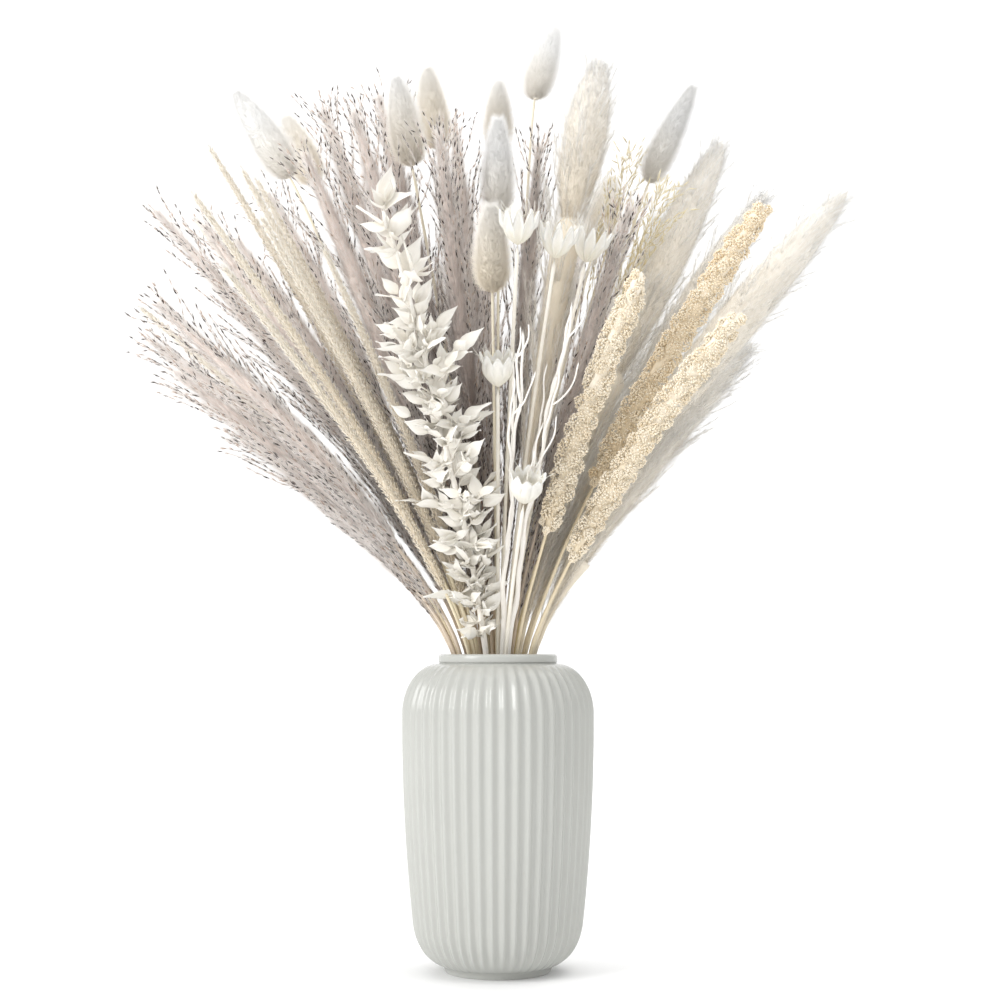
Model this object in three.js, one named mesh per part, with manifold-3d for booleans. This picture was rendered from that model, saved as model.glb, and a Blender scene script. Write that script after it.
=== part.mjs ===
// Dried reeds, grasses and seed heads standing in a ribbed stoneware vase.
// Millimetres, +Z up, the viewer's side is -Y. The origin is the middle of the vase's foot.
import * as THREE from "three";
import { mergeVertices } from "three/addons/utils/BufferGeometryUtils.js";
import Module from "manifold-3d";

const wasm = await Module();
wasm.setup();

// ---- Driving dimensions -------------------------------------------------------------------

const VASE = {
  height: 155,
  bodyRadius: 47.6, // to the crown of the ribs, below the shoulder
  lowerRadius: 42.2, // where the body turns in towards the foot
  neckRadius: 29.7,
  lipHeight: 4.6,
  lipRounding: 1.2,
  footRadius: 26,
  footFlare: 1, // how much wider the foot is at its top
  footHeight: 3.2,
  heelIn: 1.5, // the point that pulls the heel's curve: this far inside the body's lower edge
  heelUp: 4.5, // and this far above the foot
  collar: 0.6, // how far the neck stands back from the lip
  shoulderHeight: 25, // from the neck down to the straight body
  heelHeight: 23, // from the foot up to the straight body
  wall: 4,
  lipWall: 3.4,
  floor: 5,
  ribs: 48,
  ribDepth: 1.3,
  ribFade: 9, // height over which the ribs die out at the foot and the neck
};

const GAP = 0.3; // between pieces that rest on each other
const DEGREE = Math.PI / 180;

// How the stems spread: a stem that leans by sideMax or backMax crosses the mouth at its rim.
const FAN = {
  sideMax: 62,
  backMax: 42,
  rimClearance: 2.1, // between the outermost stem's axis and the neck's wall, to the sides
  backClearance: 9.2, // the same, to the front and the back
  mouthShare: 0.42, // the share of its full lean that a stem has at the mouth
  neckRun: 22, // length below the mouth over which a stem straightens up
};

const MOUTH_RADIUS = VASE.neckRadius - VASE.lipWall;
const MOUTH_SIDE = MOUTH_RADIUS - FAN.rimClearance;
const MOUTH_BACK = MOUTH_RADIUS - FAN.backClearance;
const SLIVER = 0.02; // slivers thinner than this are taken out of a joined piece
const STEP = 2; // length of the steps in which a stem's line is walked
const RING_SPACING = 45; // along a bare stem
const BRANCH_RING_SPACING = 20; // along a stem that carries shoots or leaves
const HEAD_CLEARANCE = 8; // between a bare stem's last ring and its head

// What every stem of a kind shares. bend is the length over which its lean builds up.
const KINDS = {
  reed: { stem: 0.95, head: 4.4, headLength: 165, bend: 75, sides: 5 },
  foxtail: { stem: 0.85, head: 2.5, headLength: 190, bend: 70, sides: 5 },
  bunny: { stem: 0.8, head: 9.2, headLength: 46, bend: 80, sides: 7 },
  pampas: { stem: 1.3, head: 12.5, headLength: 175, bend: 105, sides: 8 },
  millet: { stem: 1.1, head: 6.4, headLength: 140, bend: 110, sides: 8 },
  nigella: { stem: 0.9, head: 7.8, headLength: 17, bend: 80, sides: 12 },
  oat: { stem: 0.8, head: 4.2, headLength: 85, bend: 90, sides: 6 },
  twig: { stem: 1.2, bend: 80, sides: 6 },
  ruscus: { stem: 1.4, bend: 110, sides: 6 },
};

// Where each stem goes: how far it leans to the right and to the back at last, in degrees, and
// its length above the vase's mouth.
const REEDS = [
  { side: -38, back: -4, reach: 256 },
  { side: -41, back: 9, reach: 294 },
  { side: -35, back: 14, reach: 266 },
  { side: -49, back: -16, reach: 230 },
  { side: -54, back: 8, reach: 234 },
  { side: -56, back: -8, reach: 200, headLength: 140 },
  { side: -58, back: 1, reach: 156, headLength: 110 },
  { side: -28, back: 20, reach: 300 },
  { side: -23, back: -4, reach: 268 },
  { side: -19, back: 11, reach: 315 },
  { side: -16, back: 26, reach: 315 },
  { side: -16, back: -9, reach: 278 },
  { side: -13, back: 4, reach: 300 },
  { side: -7, back: -7, reach: 263 },
  { side: -5, back: 15, reach: 303 },
  { side: -2, back: 29, reach: 290 },
  { side: 5, back: 2, reach: 265 },
  { side: 18, back: -7, reach: 232 },
  { side: 11, back: 34, reach: 285 },
];
const FOXTAILS = [
  { side: -51, back: 1, reach: 242 },
  { side: -32, back: -2, reach: 290 },
  { side: -36, back: -14, reach: 263 },
  { side: -30, back: -9, reach: 266 },
  { side: -38, back: 2, reach: 265 },
  { side: -25, back: -16, reach: 214 },
  { side: -29, back: 8, reach: 280 },
  { side: -30, back: -22, reach: 238 },
  { side: -37, back: -27, reach: 226 },
  { side: -31, back: 34, reach: 250 },
];
const BUNNY_TAILS = [
  { side: -26, back: 1, reach: 316, headLength: 54, head: 10, nod: 8 },
  { side: -23, back: 16, reach: 328 },
  { side: -11, back: -3, reach: 294 },
  { side: -7.5, back: 4, reach: 308, headLength: 44, head: 8.2 },
  { side: 0, back: 12, reach: 317, headLength: 40, head: 7 },
  { side: 0, back: -4, reach: 268, headLength: 48, head: 8.2 },
  { side: 4, back: 8, reach: 352, headLength: 54, head: 8.4, nod: 24 },
  { side: 19.5, back: 3, reach: 311, headLength: 58, head: 7, nod: 6 },
  { side: -1, back: -14, reach: 220, headLength: 42 },
  { side: 14, back: 25, reach: 300 },
];
const PAMPAS = [
  { side: 11, back: -2, reach: 305, headLength: 90 },
  { side: 27, back: 7, reach: 294, headLength: 150 },
  { side: 34, back: 18, reach: 300, headLength: 170, head: 10 },
  { side: 43, back: 1, reach: 289, headLength: 190 },
  { side: 47, back: 13, reach: 205, headLength: 165, head: 10 },
  { side: 23, back: 29, reach: 290 },
  { side: -9, back: 38, reach: 270 },
];
const MILLETS = [
  { side: 24, back: -22, reach: 198, headLength: 135 },
  { side: 36, back: -12, reach: 251, headLength: 160 },
  { side: 42, back: -22, reach: 197, headLength: 145 },
];
const NIGELLAS = [
  { side: 10, back: -38, reach: 96 },
  { side: 0, back: -26, reach: 151 },
  { side: 3, back: -20, reach: 218 },
  { side: 9, back: -17, reach: 213 },
  { side: 14, back: -11, reach: 214 },
];
const OATS = [
  { side: 17, back: 9, reach: 275 },
  { side: 22, back: -2, reach: 247 },
];
const TWIGS = [
  { side: 13, back: -27, reach: 178, firstShoot: 0 },
  { side: 5, back: -31, reach: 163, firstShoot: 180 },
];
const RUSCUS = { side: -16, back: -31, reach: 226 };

const RUSCUS_LEAVES = {
  count: 40,
  length: 16,
  width: 7.5,
  thickness: 1,
  from: 12, // distance of the first leaf from the mouth
  spread: 62, // angle between a leaf and its stem, in degrees
  root: 0.3, // how far a leaf's base goes past the stem's axis
  beforeTip: 4, // distance of the last leaf from the stem's tip
};
const GOLDEN_ANGLE = 137.5;

// The side shoots of a twig. Distances are shares of the twig's reach.
const TWIG_SHOOTS = {
  count: 4,
  first: 0.36,
  apart: 0.14,
  length: 0.34,
  shorter: 0.045, // how much shorter each shoot is than the one below it
  angle: 10,
  radius: 0.6, // a share of the stem's radius
  taper: 0.5,
  sides: 5,
};
const BRANCH_TAPER = 0.5; // radius of a branch's tip, as a share of the stem's

// A millet head's lobes. The radii are shares of the head's.
const MILLET_HEAD = {
  lobe: 14, // length of one lobe
  base: 0.35,
  least: 0.55,
  swell: 2.2,
  fullTip: 0.15, // how much fuller the tip is than the base
  waist: 0.82,
  tip: 0.3,
  cap: 0.5,
};

// A seed cup's profile, as shares of its length and radius, and its wall and teeth.
const SEED_CUP = {
  outside: [[0.12, 0.62], [0.38, 0.95]],
  inside: [0.36, 0.7],
  bottom: 0.3,
  wall: 1.2,
  rimSlope: 0.4,
  tooth: 0.3,
};

// ---- Materials ----------------------------------------------------------------------------

const material = (color, roughness) =>
  new THREE.MeshStandardMaterial({ color, roughness, metalness: 0 });

const MATERIALS = {
  glaze: material("#e3e3df", 0.22),
  reed: material("#cdbfb9", 0.95),
  foxtail: material("#d9ccb0", 0.95),
  bunny: material("#ece6d8", 1),
  pampas: material("#ebe7e1", 1),
  millet: material("#ebe1cb", 0.9),
  nigella: material("#eeeeea", 0.8),
  oat: material("#e4d8bb", 0.9),
  twig: material("#eceae4", 0.8),
  ruscus: material("#f1f1ef", 0.7),
};

// ---- Solids -------------------------------------------------------------------------------

// A closed geometry as a manifold-3d solid, and back.
function solidOf(geometry) {
  const bare = geometry.clone();
  bare.deleteAttribute("normal");
  bare.deleteAttribute("uv");
  const merged = mergeVertices(bare, 1e-4);
  return new wasm.Manifold(
    new wasm.Mesh({
      numProp: 3,
      vertProperties: merged.attributes.position.array,
      triVerts: new Uint32Array(merged.index.array),
    }),
  );
}

function geometryOf(solid) {
  const mesh = solid.simplify(SLIVER).getMesh();
  const geometry = new THREE.BufferGeometry();
  geometry.setAttribute(
    "position",
    new THREE.BufferAttribute(new Float32Array(mesh.vertProperties), 3),
  );
  geometry.setIndex(new THREE.BufferAttribute(new Uint32Array(mesh.triVerts), 1));
  geometry.computeVertexNormals();
  return geometry;
}

// ---- The vase -----------------------------------------------------------------------------

// The outline in the plane of radius and height, from the foot's middle up the outside, over
// the lip and down the inside to the floor's middle.
function vaseOutline() {
  const { height, bodyRadius, lowerRadius, neckRadius, footRadius, footHeight } = VASE;
  const { lipRounding, wall } = VASE;
  const neckZ = height - VASE.lipHeight;
  const bodyTop = neckZ - VASE.shoulderHeight;
  const bodyBottom = footHeight + VASE.heelHeight;
  const middle = (bodyTop + bodyBottom) / 2;
  const outside = new THREE.Path();
  outside.moveTo(0, 0);
  outside.lineTo(footRadius, 0);
  outside.lineTo(footRadius + VASE.footFlare, footHeight);
  outside.quadraticCurveTo(
    lowerRadius - VASE.heelIn, footHeight + VASE.heelUp, lowerRadius, bodyBottom,
  );
  outside.quadraticCurveTo(bodyRadius, middle, bodyRadius, bodyTop);
  const collar = neckRadius - VASE.collar;
  outside.absellipse(collar, bodyTop, bodyRadius - collar, VASE.shoulderHeight, 0, Math.PI / 2);
  outside.lineTo(neckRadius, neckZ + lipRounding);
  outside.lineTo(neckRadius, height - lipRounding);
  outside.lineTo(neckRadius - lipRounding, height);

  const inside = new THREE.Path();
  inside.moveTo(MOUTH_RADIUS + lipRounding, height);
  inside.lineTo(MOUTH_RADIUS, height - lipRounding);
  inside.lineTo(MOUTH_RADIUS, neckZ - wall);
  inside.quadraticCurveTo(bodyRadius - wall, neckZ - wall, bodyRadius - wall, bodyTop);
  inside.quadraticCurveTo(bodyRadius - wall, middle, lowerRadius - wall, bodyBottom);
  inside.quadraticCurveTo(lowerRadius - wall, VASE.floor, footRadius, VASE.floor);
  inside.lineTo(0, VASE.floor);

  const points = [...outside.getPoints(3), ...inside.getPoints(2)];
  return points.filter((p, i) => !i || p.distanceTo(points[i - 1]) > 0.01);
}

function vaseGeometry() {
  const outline = vaseOutline();
  const lipIndex = outline.findIndex((p) => p.y >= VASE.height);
  const segments = 2 * VASE.ribs;
  const geometry = new THREE.LatheGeometry(outline, segments);
  const position = geometry.attributes.position;
  const neckZ = VASE.height - VASE.lipHeight;
  for (let k = 0; k < position.count; k++) {
    const onOutside = k % outline.length < lipIndex;
    const inValley = Math.floor(k / outline.length) % 2 === 1;
    if (!onOutside || !inValley) continue;
    const z = position.getY(k);
    const fade = Math.min(z - VASE.footHeight, neckZ - z) / VASE.ribFade;
    const depth = VASE.ribDepth * THREE.MathUtils.clamp(fade, 0, 1);
    const radius = Math.hypot(position.getX(k), position.getZ(k));
    if (depth <= 0 || radius < VASE.footRadius) continue;
    const share = (radius - depth) / radius;
    position.setX(k, position.getX(k) * share);
    position.setZ(k, position.getZ(k) * share);
  }
  geometry.rotateX(Math.PI / 2);
  geometry.rotateZ(Math.PI / segments * 2); // a valley faces the viewer
  return geometry;
}

// ---- The line of a stem -------------------------------------------------------------------

// A nodding head leans further than its stem, from a little below the head to its middle.
function nodAt(stem, s) {
  if (!stem.nod) return 0;
  const from = stem.reach - 1.3 * stem.headLength;
  const to = stem.reach - 0.5 * stem.headLength;
  return stem.nod * DEGREE * THREE.MathUtils.smoothstep(s, from, to);
}

// A stem's lean from upright, in radians, at a distance along it from the mouth. Below the mouth
// the distance is negative, and the stem straightens up within the neck.
function leanAt(stem, s) {
  const { mouthShare, neckRun } = FAN;
  if (s <= 0) return stem.lean * mouthShare * Math.max(0, 1 + s / neckRun);
  const built = mouthShare + (1 - mouthShare) * (1 - Math.exp(-s / stem.bend));
  return stem.lean * built + nodAt(stem, s);
}

// The point and the frame of a stem's line at a distance from the mouth.
function frameAt(stem, s) {
  const steps = Math.max(1, Math.ceil(Math.abs(s) / STEP));
  const length = s / steps;
  let out = 0;
  let up = 0;
  for (let i = 0; i < steps; i++) {
    const lean = leanAt(stem, (i + 0.5) * length);
    out += Math.sin(lean) * length;
    up += Math.cos(lean) * length;
  }
  const lean = leanAt(stem, s);
  const heading = new THREE.Vector3(Math.cos(stem.heading), Math.sin(stem.heading), 0);
  const along = heading.clone().multiplyScalar(Math.sin(lean));
  along.z = Math.cos(lean);
  const across = new THREE.Vector3(-heading.y, heading.x, 0);
  const centre = heading.multiplyScalar(out).add(stem.mouth);
  centre.z += up;
  return { centre, across, along, outward: new THREE.Vector3().crossVectors(across, along) };
}

// The distance, below the mouth, at which a stem stands on the vase's floor.
function cutEnd(stem) {
  const standing = VASE.floor + GAP;
  let s = 0;
  while (frameAt(stem, s - STEP).centre.z > standing) s -= STEP;
  return s - (frameAt(stem, s).centre.z - standing);
}

function stemLine(place, kind) {
  const stem = { ...kind, ...place };
  stem.lean = Math.hypot(stem.side, stem.back) * DEGREE;
  stem.heading = Math.atan2(stem.back, stem.side);
  stem.mouth = new THREE.Vector3(
    (MOUTH_SIDE * stem.side) / FAN.sideMax,
    (MOUTH_BACK * stem.back) / FAN.backMax,
    VASE.height,
  );
  stem.foot = cutEnd(stem);
  return stem;
}

// A turned profile, as [radius, distance] pairs, bent along the stem's line.
function bentLathe(stem, rings, sides = stem.sides) {
  const geometry = new THREE.LatheGeometry(
    rings.map(([radius, s]) => new THREE.Vector2(radius, s)), sides,
  );
  const position = geometry.attributes.position;
  const frames = new Map(rings.map(([, s]) => [Math.fround(s), frameAt(stem, s)]));
  const point = new THREE.Vector3();
  for (let k = 0; k < position.count; k++) {
    const { centre, across, outward } = frames.get(position.getY(k));
    point.copy(centre).addScaledVector(across, position.getX(k));
    point.addScaledVector(outward, position.getZ(k));
    position.setXYZ(k, point.x, point.y, point.z);
  }
  return geometry;
}

// The rings of a bare stem from its cut end up to a distance from the mouth, where its radius
// has come down to the share that taper gives.
function stemRings(stem, end, spacing = RING_SPACING, taper = 1) {
  const rings = [[0, stem.foot], [stem.stem, stem.foot]];
  rings.push([stem.stem, -FAN.neckRun], [stem.stem, -FAN.neckRun / 3]);
  const clear = end - HEAD_CLEARANCE;
  const count = Math.max(1, Math.round(clear / spacing));
  for (let i = 1; i <= count; i++) {
    const share = i / count;
    rings.push([stem.stem * (1 - share * (1 - taper)), clear * share]);
  }
  return rings;
}

// A stem that carries no head, and tapers to a blunt tip.
function branchStem(stem) {
  const rings = stemRings(stem, stem.reach, BRANCH_RING_SPACING, BRANCH_TAPER);
  return bentLathe(stem, [...rings, [stem.stem * BRANCH_TAPER, stem.reach], [0, stem.reach]]);
}

// The rings of a head: shape gives the radius, as a share of the full one, from 0 at the head's
// base to 1 at its tip.
function headRings(stem, shape) {
  const start = stem.reach - stem.headLength;
  const rings = shape.map(([share, radius]) => [
    radius * stem.head,
    start + share * stem.headLength,
  ]);
  return [...rings, [0, stem.reach]];
}

// ---- The kinds of stem --------------------------------------------------------------------

const HEAD_SHAPES = {
  reed: [[0, 0.24], [0.14, 0.62], [0.36, 1], [0.6, 0.92], [0.82, 0.55], [0.97, 0.16]],
  foxtail: [[0, 0.42], [0.05, 0.85], [0.3, 1], [0.6, 0.92], [0.85, 0.7], [0.985, 0.36]],
  bunny: [[0, 0.12], [0.05, 0.55], [0.18, 0.92], [0.36, 1], [0.58, 0.9], [0.8, 0.64], [0.95, 0.3]],
  pampas: [[0, 0.14], [0.12, 0.5], [0.32, 0.9], [0.55, 1], [0.76, 0.84], [0.92, 0.5], [0.98, 0.22]],
  oat: [[0, 0.2], [0.2, 0.7], [0.5, 1], [0.8, 0.6], [0.97, 0.2]],
};

function headedStem(kind) {
  return (place) => {
    const stem = stemLine(place, KINDS[kind]);
    const end = stem.reach - stem.headLength;
    return bentLathe(stem, [...stemRings(stem, end), ...headRings(stem, HEAD_SHAPES[kind])]);
  };
}

// A millet head is a row of lobes that lie on each other like beads on a string. It is slimmer
// towards both ends.
function milletStem(place) {
  const stem = stemLine(place, KINDS.millet);
  const { lobe, base, least, swell, fullTip, waist, tip, cap } = MILLET_HEAD;
  const start = stem.reach - stem.headLength;
  const count = Math.round(stem.headLength / lobe);
  const rings = stemRings(stem, start);
  rings.push([stem.head * base, start]);
  for (let i = 0; i < count; i++) {
    const share = (i + 0.5) / count;
    const fullness = least + swell * Math.min(share, 1 - share + fullTip);
    const radius = stem.head * Math.min(1, fullness);
    rings.push([radius, start + share * stem.headLength]);
    if (i < count - 1) {
      rings.push([radius * waist, start + ((i + 1) / count) * stem.headLength]);
    }
  }
  rings.push([stem.head * tip, stem.reach - cap], [0, stem.reach]);
  return bentLathe(stem, rings);
}

// A seed cup: a bare stem, an open cup and a crown of teeth made by raising every other vertex
// of its rim.
function nigellaStem(place) {
  const stem = stemLine(place, KINDS.nigella);
  const start = stem.reach - stem.headLength;
  const tooth = stem.headLength * SEED_CUP.tooth;
  const rim = stem.reach - tooth;
  const at = ([share, radius]) => [stem.head * radius, start + stem.headLength * share];
  const rings = [
    ...stemRings(stem, start),
    [stem.stem, start],
    ...SEED_CUP.outside.map(at),
    [stem.head, rim],
    [stem.head - SEED_CUP.wall, rim - SEED_CUP.rimSlope],
    at(SEED_CUP.inside),
    at([SEED_CUP.bottom, 0]),
  ];
  const geometry = bentLathe(stem, rings);
  const position = geometry.attributes.position;
  const { along } = frameAt(stem, rim);
  const rimRing = rings.findIndex(([, s]) => s === rim);
  for (let k = 0; k < position.count; k++) {
    const ring = k % rings.length;
    const raised = Math.floor(k / rings.length) % 2 === 1;
    if (!raised || (ring !== rimRing && ring !== rimRing + 1)) continue;
    position.setX(k, position.getX(k) + along.x * tooth);
    position.setY(k, position.getY(k) + along.y * tooth);
    position.setZ(k, position.getZ(k) + along.z * tooth);
  }
  return geometry;
}

// A straight tapering shoot that leaves a stem at a distance from the mouth, at an angle to it.
function shoot(stem, { at, turn, angle, length, radius }) {
  const { centre, across, along, outward } = frameAt(stem, at);
  const side = across.clone().multiplyScalar(Math.cos(turn * DEGREE));
  side.addScaledVector(outward, Math.sin(turn * DEGREE));
  const direction = along.clone().multiplyScalar(Math.cos(angle * DEGREE));
  direction.addScaledVector(side, Math.sin(angle * DEGREE));
  const geometry = new THREE.LatheGeometry(
    [[0, 0], [radius, 0], [radius * TWIG_SHOOTS.taper, length], [0, length]].map(
      ([r, s]) => new THREE.Vector2(r, s),
    ), TWIG_SHOOTS.sides,
  );
  const turned = new THREE.Quaternion().setFromUnitVectors(new THREE.Vector3(0, 1, 0), direction);
  geometry.applyQuaternion(turned);
  geometry.translate(centre.x, centre.y, centre.z);
  return geometry;
}

// A forked white twig: a stem whose shoots come off left and right in turn.
function twigStem(place) {
  const stem = stemLine(place, KINDS.twig);
  let solid = solidOf(branchStem(stem));
  const { count, first, apart, length, shorter, angle, radius } = TWIG_SHOOTS;
  for (let i = 0; i < count; i++) {
    const piece = shoot(stem, {
      at: stem.reach * (first + apart * i),
      turn: place.firstShoot + i * 180,
      angle,
      length: stem.reach * (length - shorter * i),
      radius: stem.stem * radius,
    });
    solid = solid.add(solidOf(piece));
  }
  return geometryOf(solid);
}

// A leaf: a flat, pointed, eight-sided blade whose base sits in its stem.
function leafOn(stem, at, turn) {
  const { centre, across, along, outward } = frameAt(stem, at);
  const { length, width, thickness, spread, root } = RUSCUS_LEAVES;
  const side = across.clone().multiplyScalar(Math.cos(turn * DEGREE));
  side.addScaledVector(outward, Math.sin(turn * DEGREE));
  const blade = along.clone().multiplyScalar(Math.cos(spread * DEGREE));
  blade.addScaledVector(side, Math.sin(spread * DEGREE));
  const flat = new THREE.Vector3().crossVectors(along, blade).normalize();
  const normal = new THREE.Vector3().crossVectors(flat, blade);
  const geometry = new THREE.OctahedronGeometry(1);
  const basis = new THREE.Matrix4().makeBasis(
    flat.multiplyScalar(width / 2),
    blade.clone().multiplyScalar(length / 2),
    normal.multiplyScalar(thickness / 2),
  );
  basis.setPosition(centre.clone().addScaledVector(blade, length / 2 - root));
  return geometry.applyMatrix4(basis);
}

function ruscusStem(place) {
  const stem = stemLine(place, KINDS.ruscus);
  let solid = solidOf(branchStem(stem));
  const { count, from, beforeTip } = RUSCUS_LEAVES;
  for (let i = 0; i < count; i++) {
    const at = from + ((stem.reach - beforeTip - from) * i) / (count - 1);
    solid = solid.add(solidOf(leafOn(stem, at, i * GOLDEN_ANGLE)));
  }
  return geometryOf(solid);
}

// ---- The bunch ----------------------------------------------------------------------------

const bunch = new THREE.Group();

function addPiece(name, geometry, look) {
  const mesh = new THREE.Mesh(geometry, look);
  mesh.name = name;
  bunch.add(mesh);
}

function addStems(name, places, build, look) {
  places.forEach((place, i) => {
    addPiece(`${name}_${String(i + 1).padStart(2, "0")}`, build(place), look);
  });
}

addPiece("vase", vaseGeometry(), MATERIALS.glaze);
addStems("reed_plume", REEDS, headedStem("reed"), MATERIALS.reed);
addStems("foxtail_spike", FOXTAILS, headedStem("foxtail"), MATERIALS.foxtail);
addStems("bunny_tail", BUNNY_TAILS, headedStem("bunny"), MATERIALS.bunny);
addStems("pampas_plume", PAMPAS, headedStem("pampas"), MATERIALS.pampas);
addStems("oat_head", OATS, headedStem("oat"), MATERIALS.oat);
addStems("millet_spike", MILLETS, milletStem, MATERIALS.millet);
addStems("nigella_pod", NIGELLAS, nigellaStem, MATERIALS.nigella);
addStems("white_twig", TWIGS, twigStem, MATERIALS.twig);
addPiece("ruscus_branch", ruscusStem(RUSCUS), MATERIALS.ruscus);

export default bunch;
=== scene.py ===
"""Looks of a bunch of dried reeds, grasses and seed heads in a ribbed white vase.

Each CAD stem is replaced by one detailed mesh that grows along the CAD stem's own line. Sizes of
the plants and the vase are in millimetres, and are turned into metres when a mesh is made. The
camera, the lights and the floor are in metres.
"""
import math
import bpy
import numpy as np
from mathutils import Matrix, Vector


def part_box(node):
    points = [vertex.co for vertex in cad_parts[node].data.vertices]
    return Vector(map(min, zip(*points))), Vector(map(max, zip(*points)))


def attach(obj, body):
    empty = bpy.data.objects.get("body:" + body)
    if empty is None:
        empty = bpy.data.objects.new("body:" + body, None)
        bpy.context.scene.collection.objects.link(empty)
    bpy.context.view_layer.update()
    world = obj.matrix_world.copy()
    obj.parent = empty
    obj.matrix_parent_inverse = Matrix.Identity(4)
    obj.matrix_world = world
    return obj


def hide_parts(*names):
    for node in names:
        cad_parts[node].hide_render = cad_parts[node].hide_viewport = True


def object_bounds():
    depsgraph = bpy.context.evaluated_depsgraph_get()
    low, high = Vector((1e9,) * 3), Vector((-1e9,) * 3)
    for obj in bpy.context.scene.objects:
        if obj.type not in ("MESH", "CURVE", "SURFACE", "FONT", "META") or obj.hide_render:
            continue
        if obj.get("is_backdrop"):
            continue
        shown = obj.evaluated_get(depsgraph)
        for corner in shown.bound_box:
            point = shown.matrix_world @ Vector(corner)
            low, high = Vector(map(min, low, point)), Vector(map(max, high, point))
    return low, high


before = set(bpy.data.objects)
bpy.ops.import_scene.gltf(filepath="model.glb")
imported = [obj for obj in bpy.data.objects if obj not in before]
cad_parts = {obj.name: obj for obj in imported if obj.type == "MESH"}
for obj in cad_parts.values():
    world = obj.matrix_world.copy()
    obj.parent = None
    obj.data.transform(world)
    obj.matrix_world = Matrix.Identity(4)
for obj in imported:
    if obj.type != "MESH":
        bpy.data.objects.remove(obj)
cad_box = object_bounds()

MM = 0.001
GOLDEN = math.radians(137.508)
SEED = 20
FUR_MAP = "OFBake"  # u is the place along the stem or head, v is the place along a hair or leaf


# ---- Camera, light and stage ----

CAMERA = {
    "distance": 0.903, "height": 0.1556, "side": 0.001, "pitch": 4.84, "lens": 65.0, "sensor": 36.0,
}
MIDDLE = (0, 0, 0.25)
LIGHTS = {
    "key": {"place": (-1.5, -1.1, 1.0), "aim": MIDDLE, "size": (0.9, 1.2), "power": 24},
    "top": {"place": (0.3, 0.0, 1.9), "aim": MIDDLE, "size": (1.4, 1.4), "power": 11},
    "fill": {"place": (1.3, -1.0, 1.5), "aim": MIDDLE, "size": (1.0, 1.0), "power": 3},
    "backdrop": {"place": (0, 1.5, 4.5), "aim": (0, 5.5, 1.2), "size": (5.0, 2.0), "power": 150},
}
SKY_STRENGTH = 0.75
WHITE = (1, 1, 1, 1)
FLOOR = {
    "half": 9.0, "front": -7.0, "back": 4.0, "bend": 1.5, "top": 6.0, "steps": 24,
    "colour": (0.92, 0.92, 0.92, 1), "roughness": 0.9,
}


def new_object(name, data):
    """An object made of data, in the scene."""
    made = bpy.data.objects.new(name, data)
    bpy.context.scene.collection.objects.link(made)
    return made


def make_camera():
    data = bpy.data.cameras.new("camera")
    data.lens = CAMERA["lens"]
    data.sensor_width = CAMERA["sensor"]
    camera = new_object("camera", data)
    camera.location = (CAMERA["side"], -CAMERA["distance"], CAMERA["height"])
    camera.rotation_euler = (math.radians(90 + CAMERA["pitch"]), 0, 0)
    bpy.context.scene.camera = camera


def make_area_light(name, place, aim, size, power):
    data = bpy.data.lights.new(name, "AREA")
    data.shape = "RECTANGLE"
    data.size, data.size_y = size
    data.energy = power
    light = new_object(name, data)
    light.location = place
    towards = np.array(aim) - np.array(place)
    flat = math.hypot(towards[0], towards[1])
    light.rotation_euler = (
        math.atan2(flat, -towards[2]), 0, math.atan2(towards[1], towards[0]) - math.pi / 2)


def make_lights():
    for name, light in LIGHTS.items():
        make_area_light(name, **light)
    world = bpy.data.worlds.new("studio")
    world.use_nodes = True
    background = world.node_tree.nodes["Background"]
    background.inputs["Color"].default_value = WHITE
    background.inputs["Strength"].default_value = SKY_STRENGTH
    bpy.context.scene.world = world
    bpy.context.scene.view_settings.view_transform = "Standard"


def make_floor():
    """A pale sweep: flat under the vase, curving up into a wall far behind it."""
    back, bend, half = FLOOR["back"], FLOOR["bend"], FLOOR["half"]
    profile = [(FLOOR["front"], 0.0), (back, 0.0)]
    for i in range(1, FLOOR["steps"] + 1):
        turn = math.pi / 2 * i / FLOOR["steps"]
        profile.append((back + bend * math.sin(turn), bend * (1 - math.cos(turn))))
    profile.append((back + bend, FLOOR["top"]))
    points = [(x, y, z) for y, z in profile for x in (-half, half)]
    faces = [(2 * i, 2 * i + 1, 2 * i + 3, 2 * i + 2) for i in range(len(profile) - 1)]
    mesh = bpy.data.meshes.new("floor")
    mesh.from_pydata(points, [], faces)
    mesh.polygons.foreach_set("use_smooth", [True] * len(faces))
    material, _, shader = new_material("floor")
    shader.inputs["Base Color"].default_value = FLOOR["colour"]
    shader.inputs["Roughness"].default_value = FLOOR["roughness"]
    mesh.materials.append(material)
    new_object("floor", mesh)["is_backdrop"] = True


# ---- Small vector helpers ----

def unit(v):
    return v / np.maximum(np.linalg.norm(v, axis=-1, keepdims=True), 1e-12)


def across_from(direction):
    """For each direction, one that is square to it."""
    steep = np.abs(direction[..., 2:3]) > 0.9
    helper = np.where(steep, np.array([1.0, 0.0, 0.0]), np.array([0.0, 0.0, 1.0]))
    return unit(np.cross(helper, direction))


def linear(hex_colour):
    """A colour written as sRGB hex, as the linear colour that shaders take."""
    channels = [int(hex_colour[i:i + 2], 16) / 255 for i in (1, 3, 5)]
    return tuple(c / 12.92 if c <= 0.04045 else ((c + 0.055) / 1.055) ** 2.4
                 for c in channels) + (1.0,)


# ---- Materials ----

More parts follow.
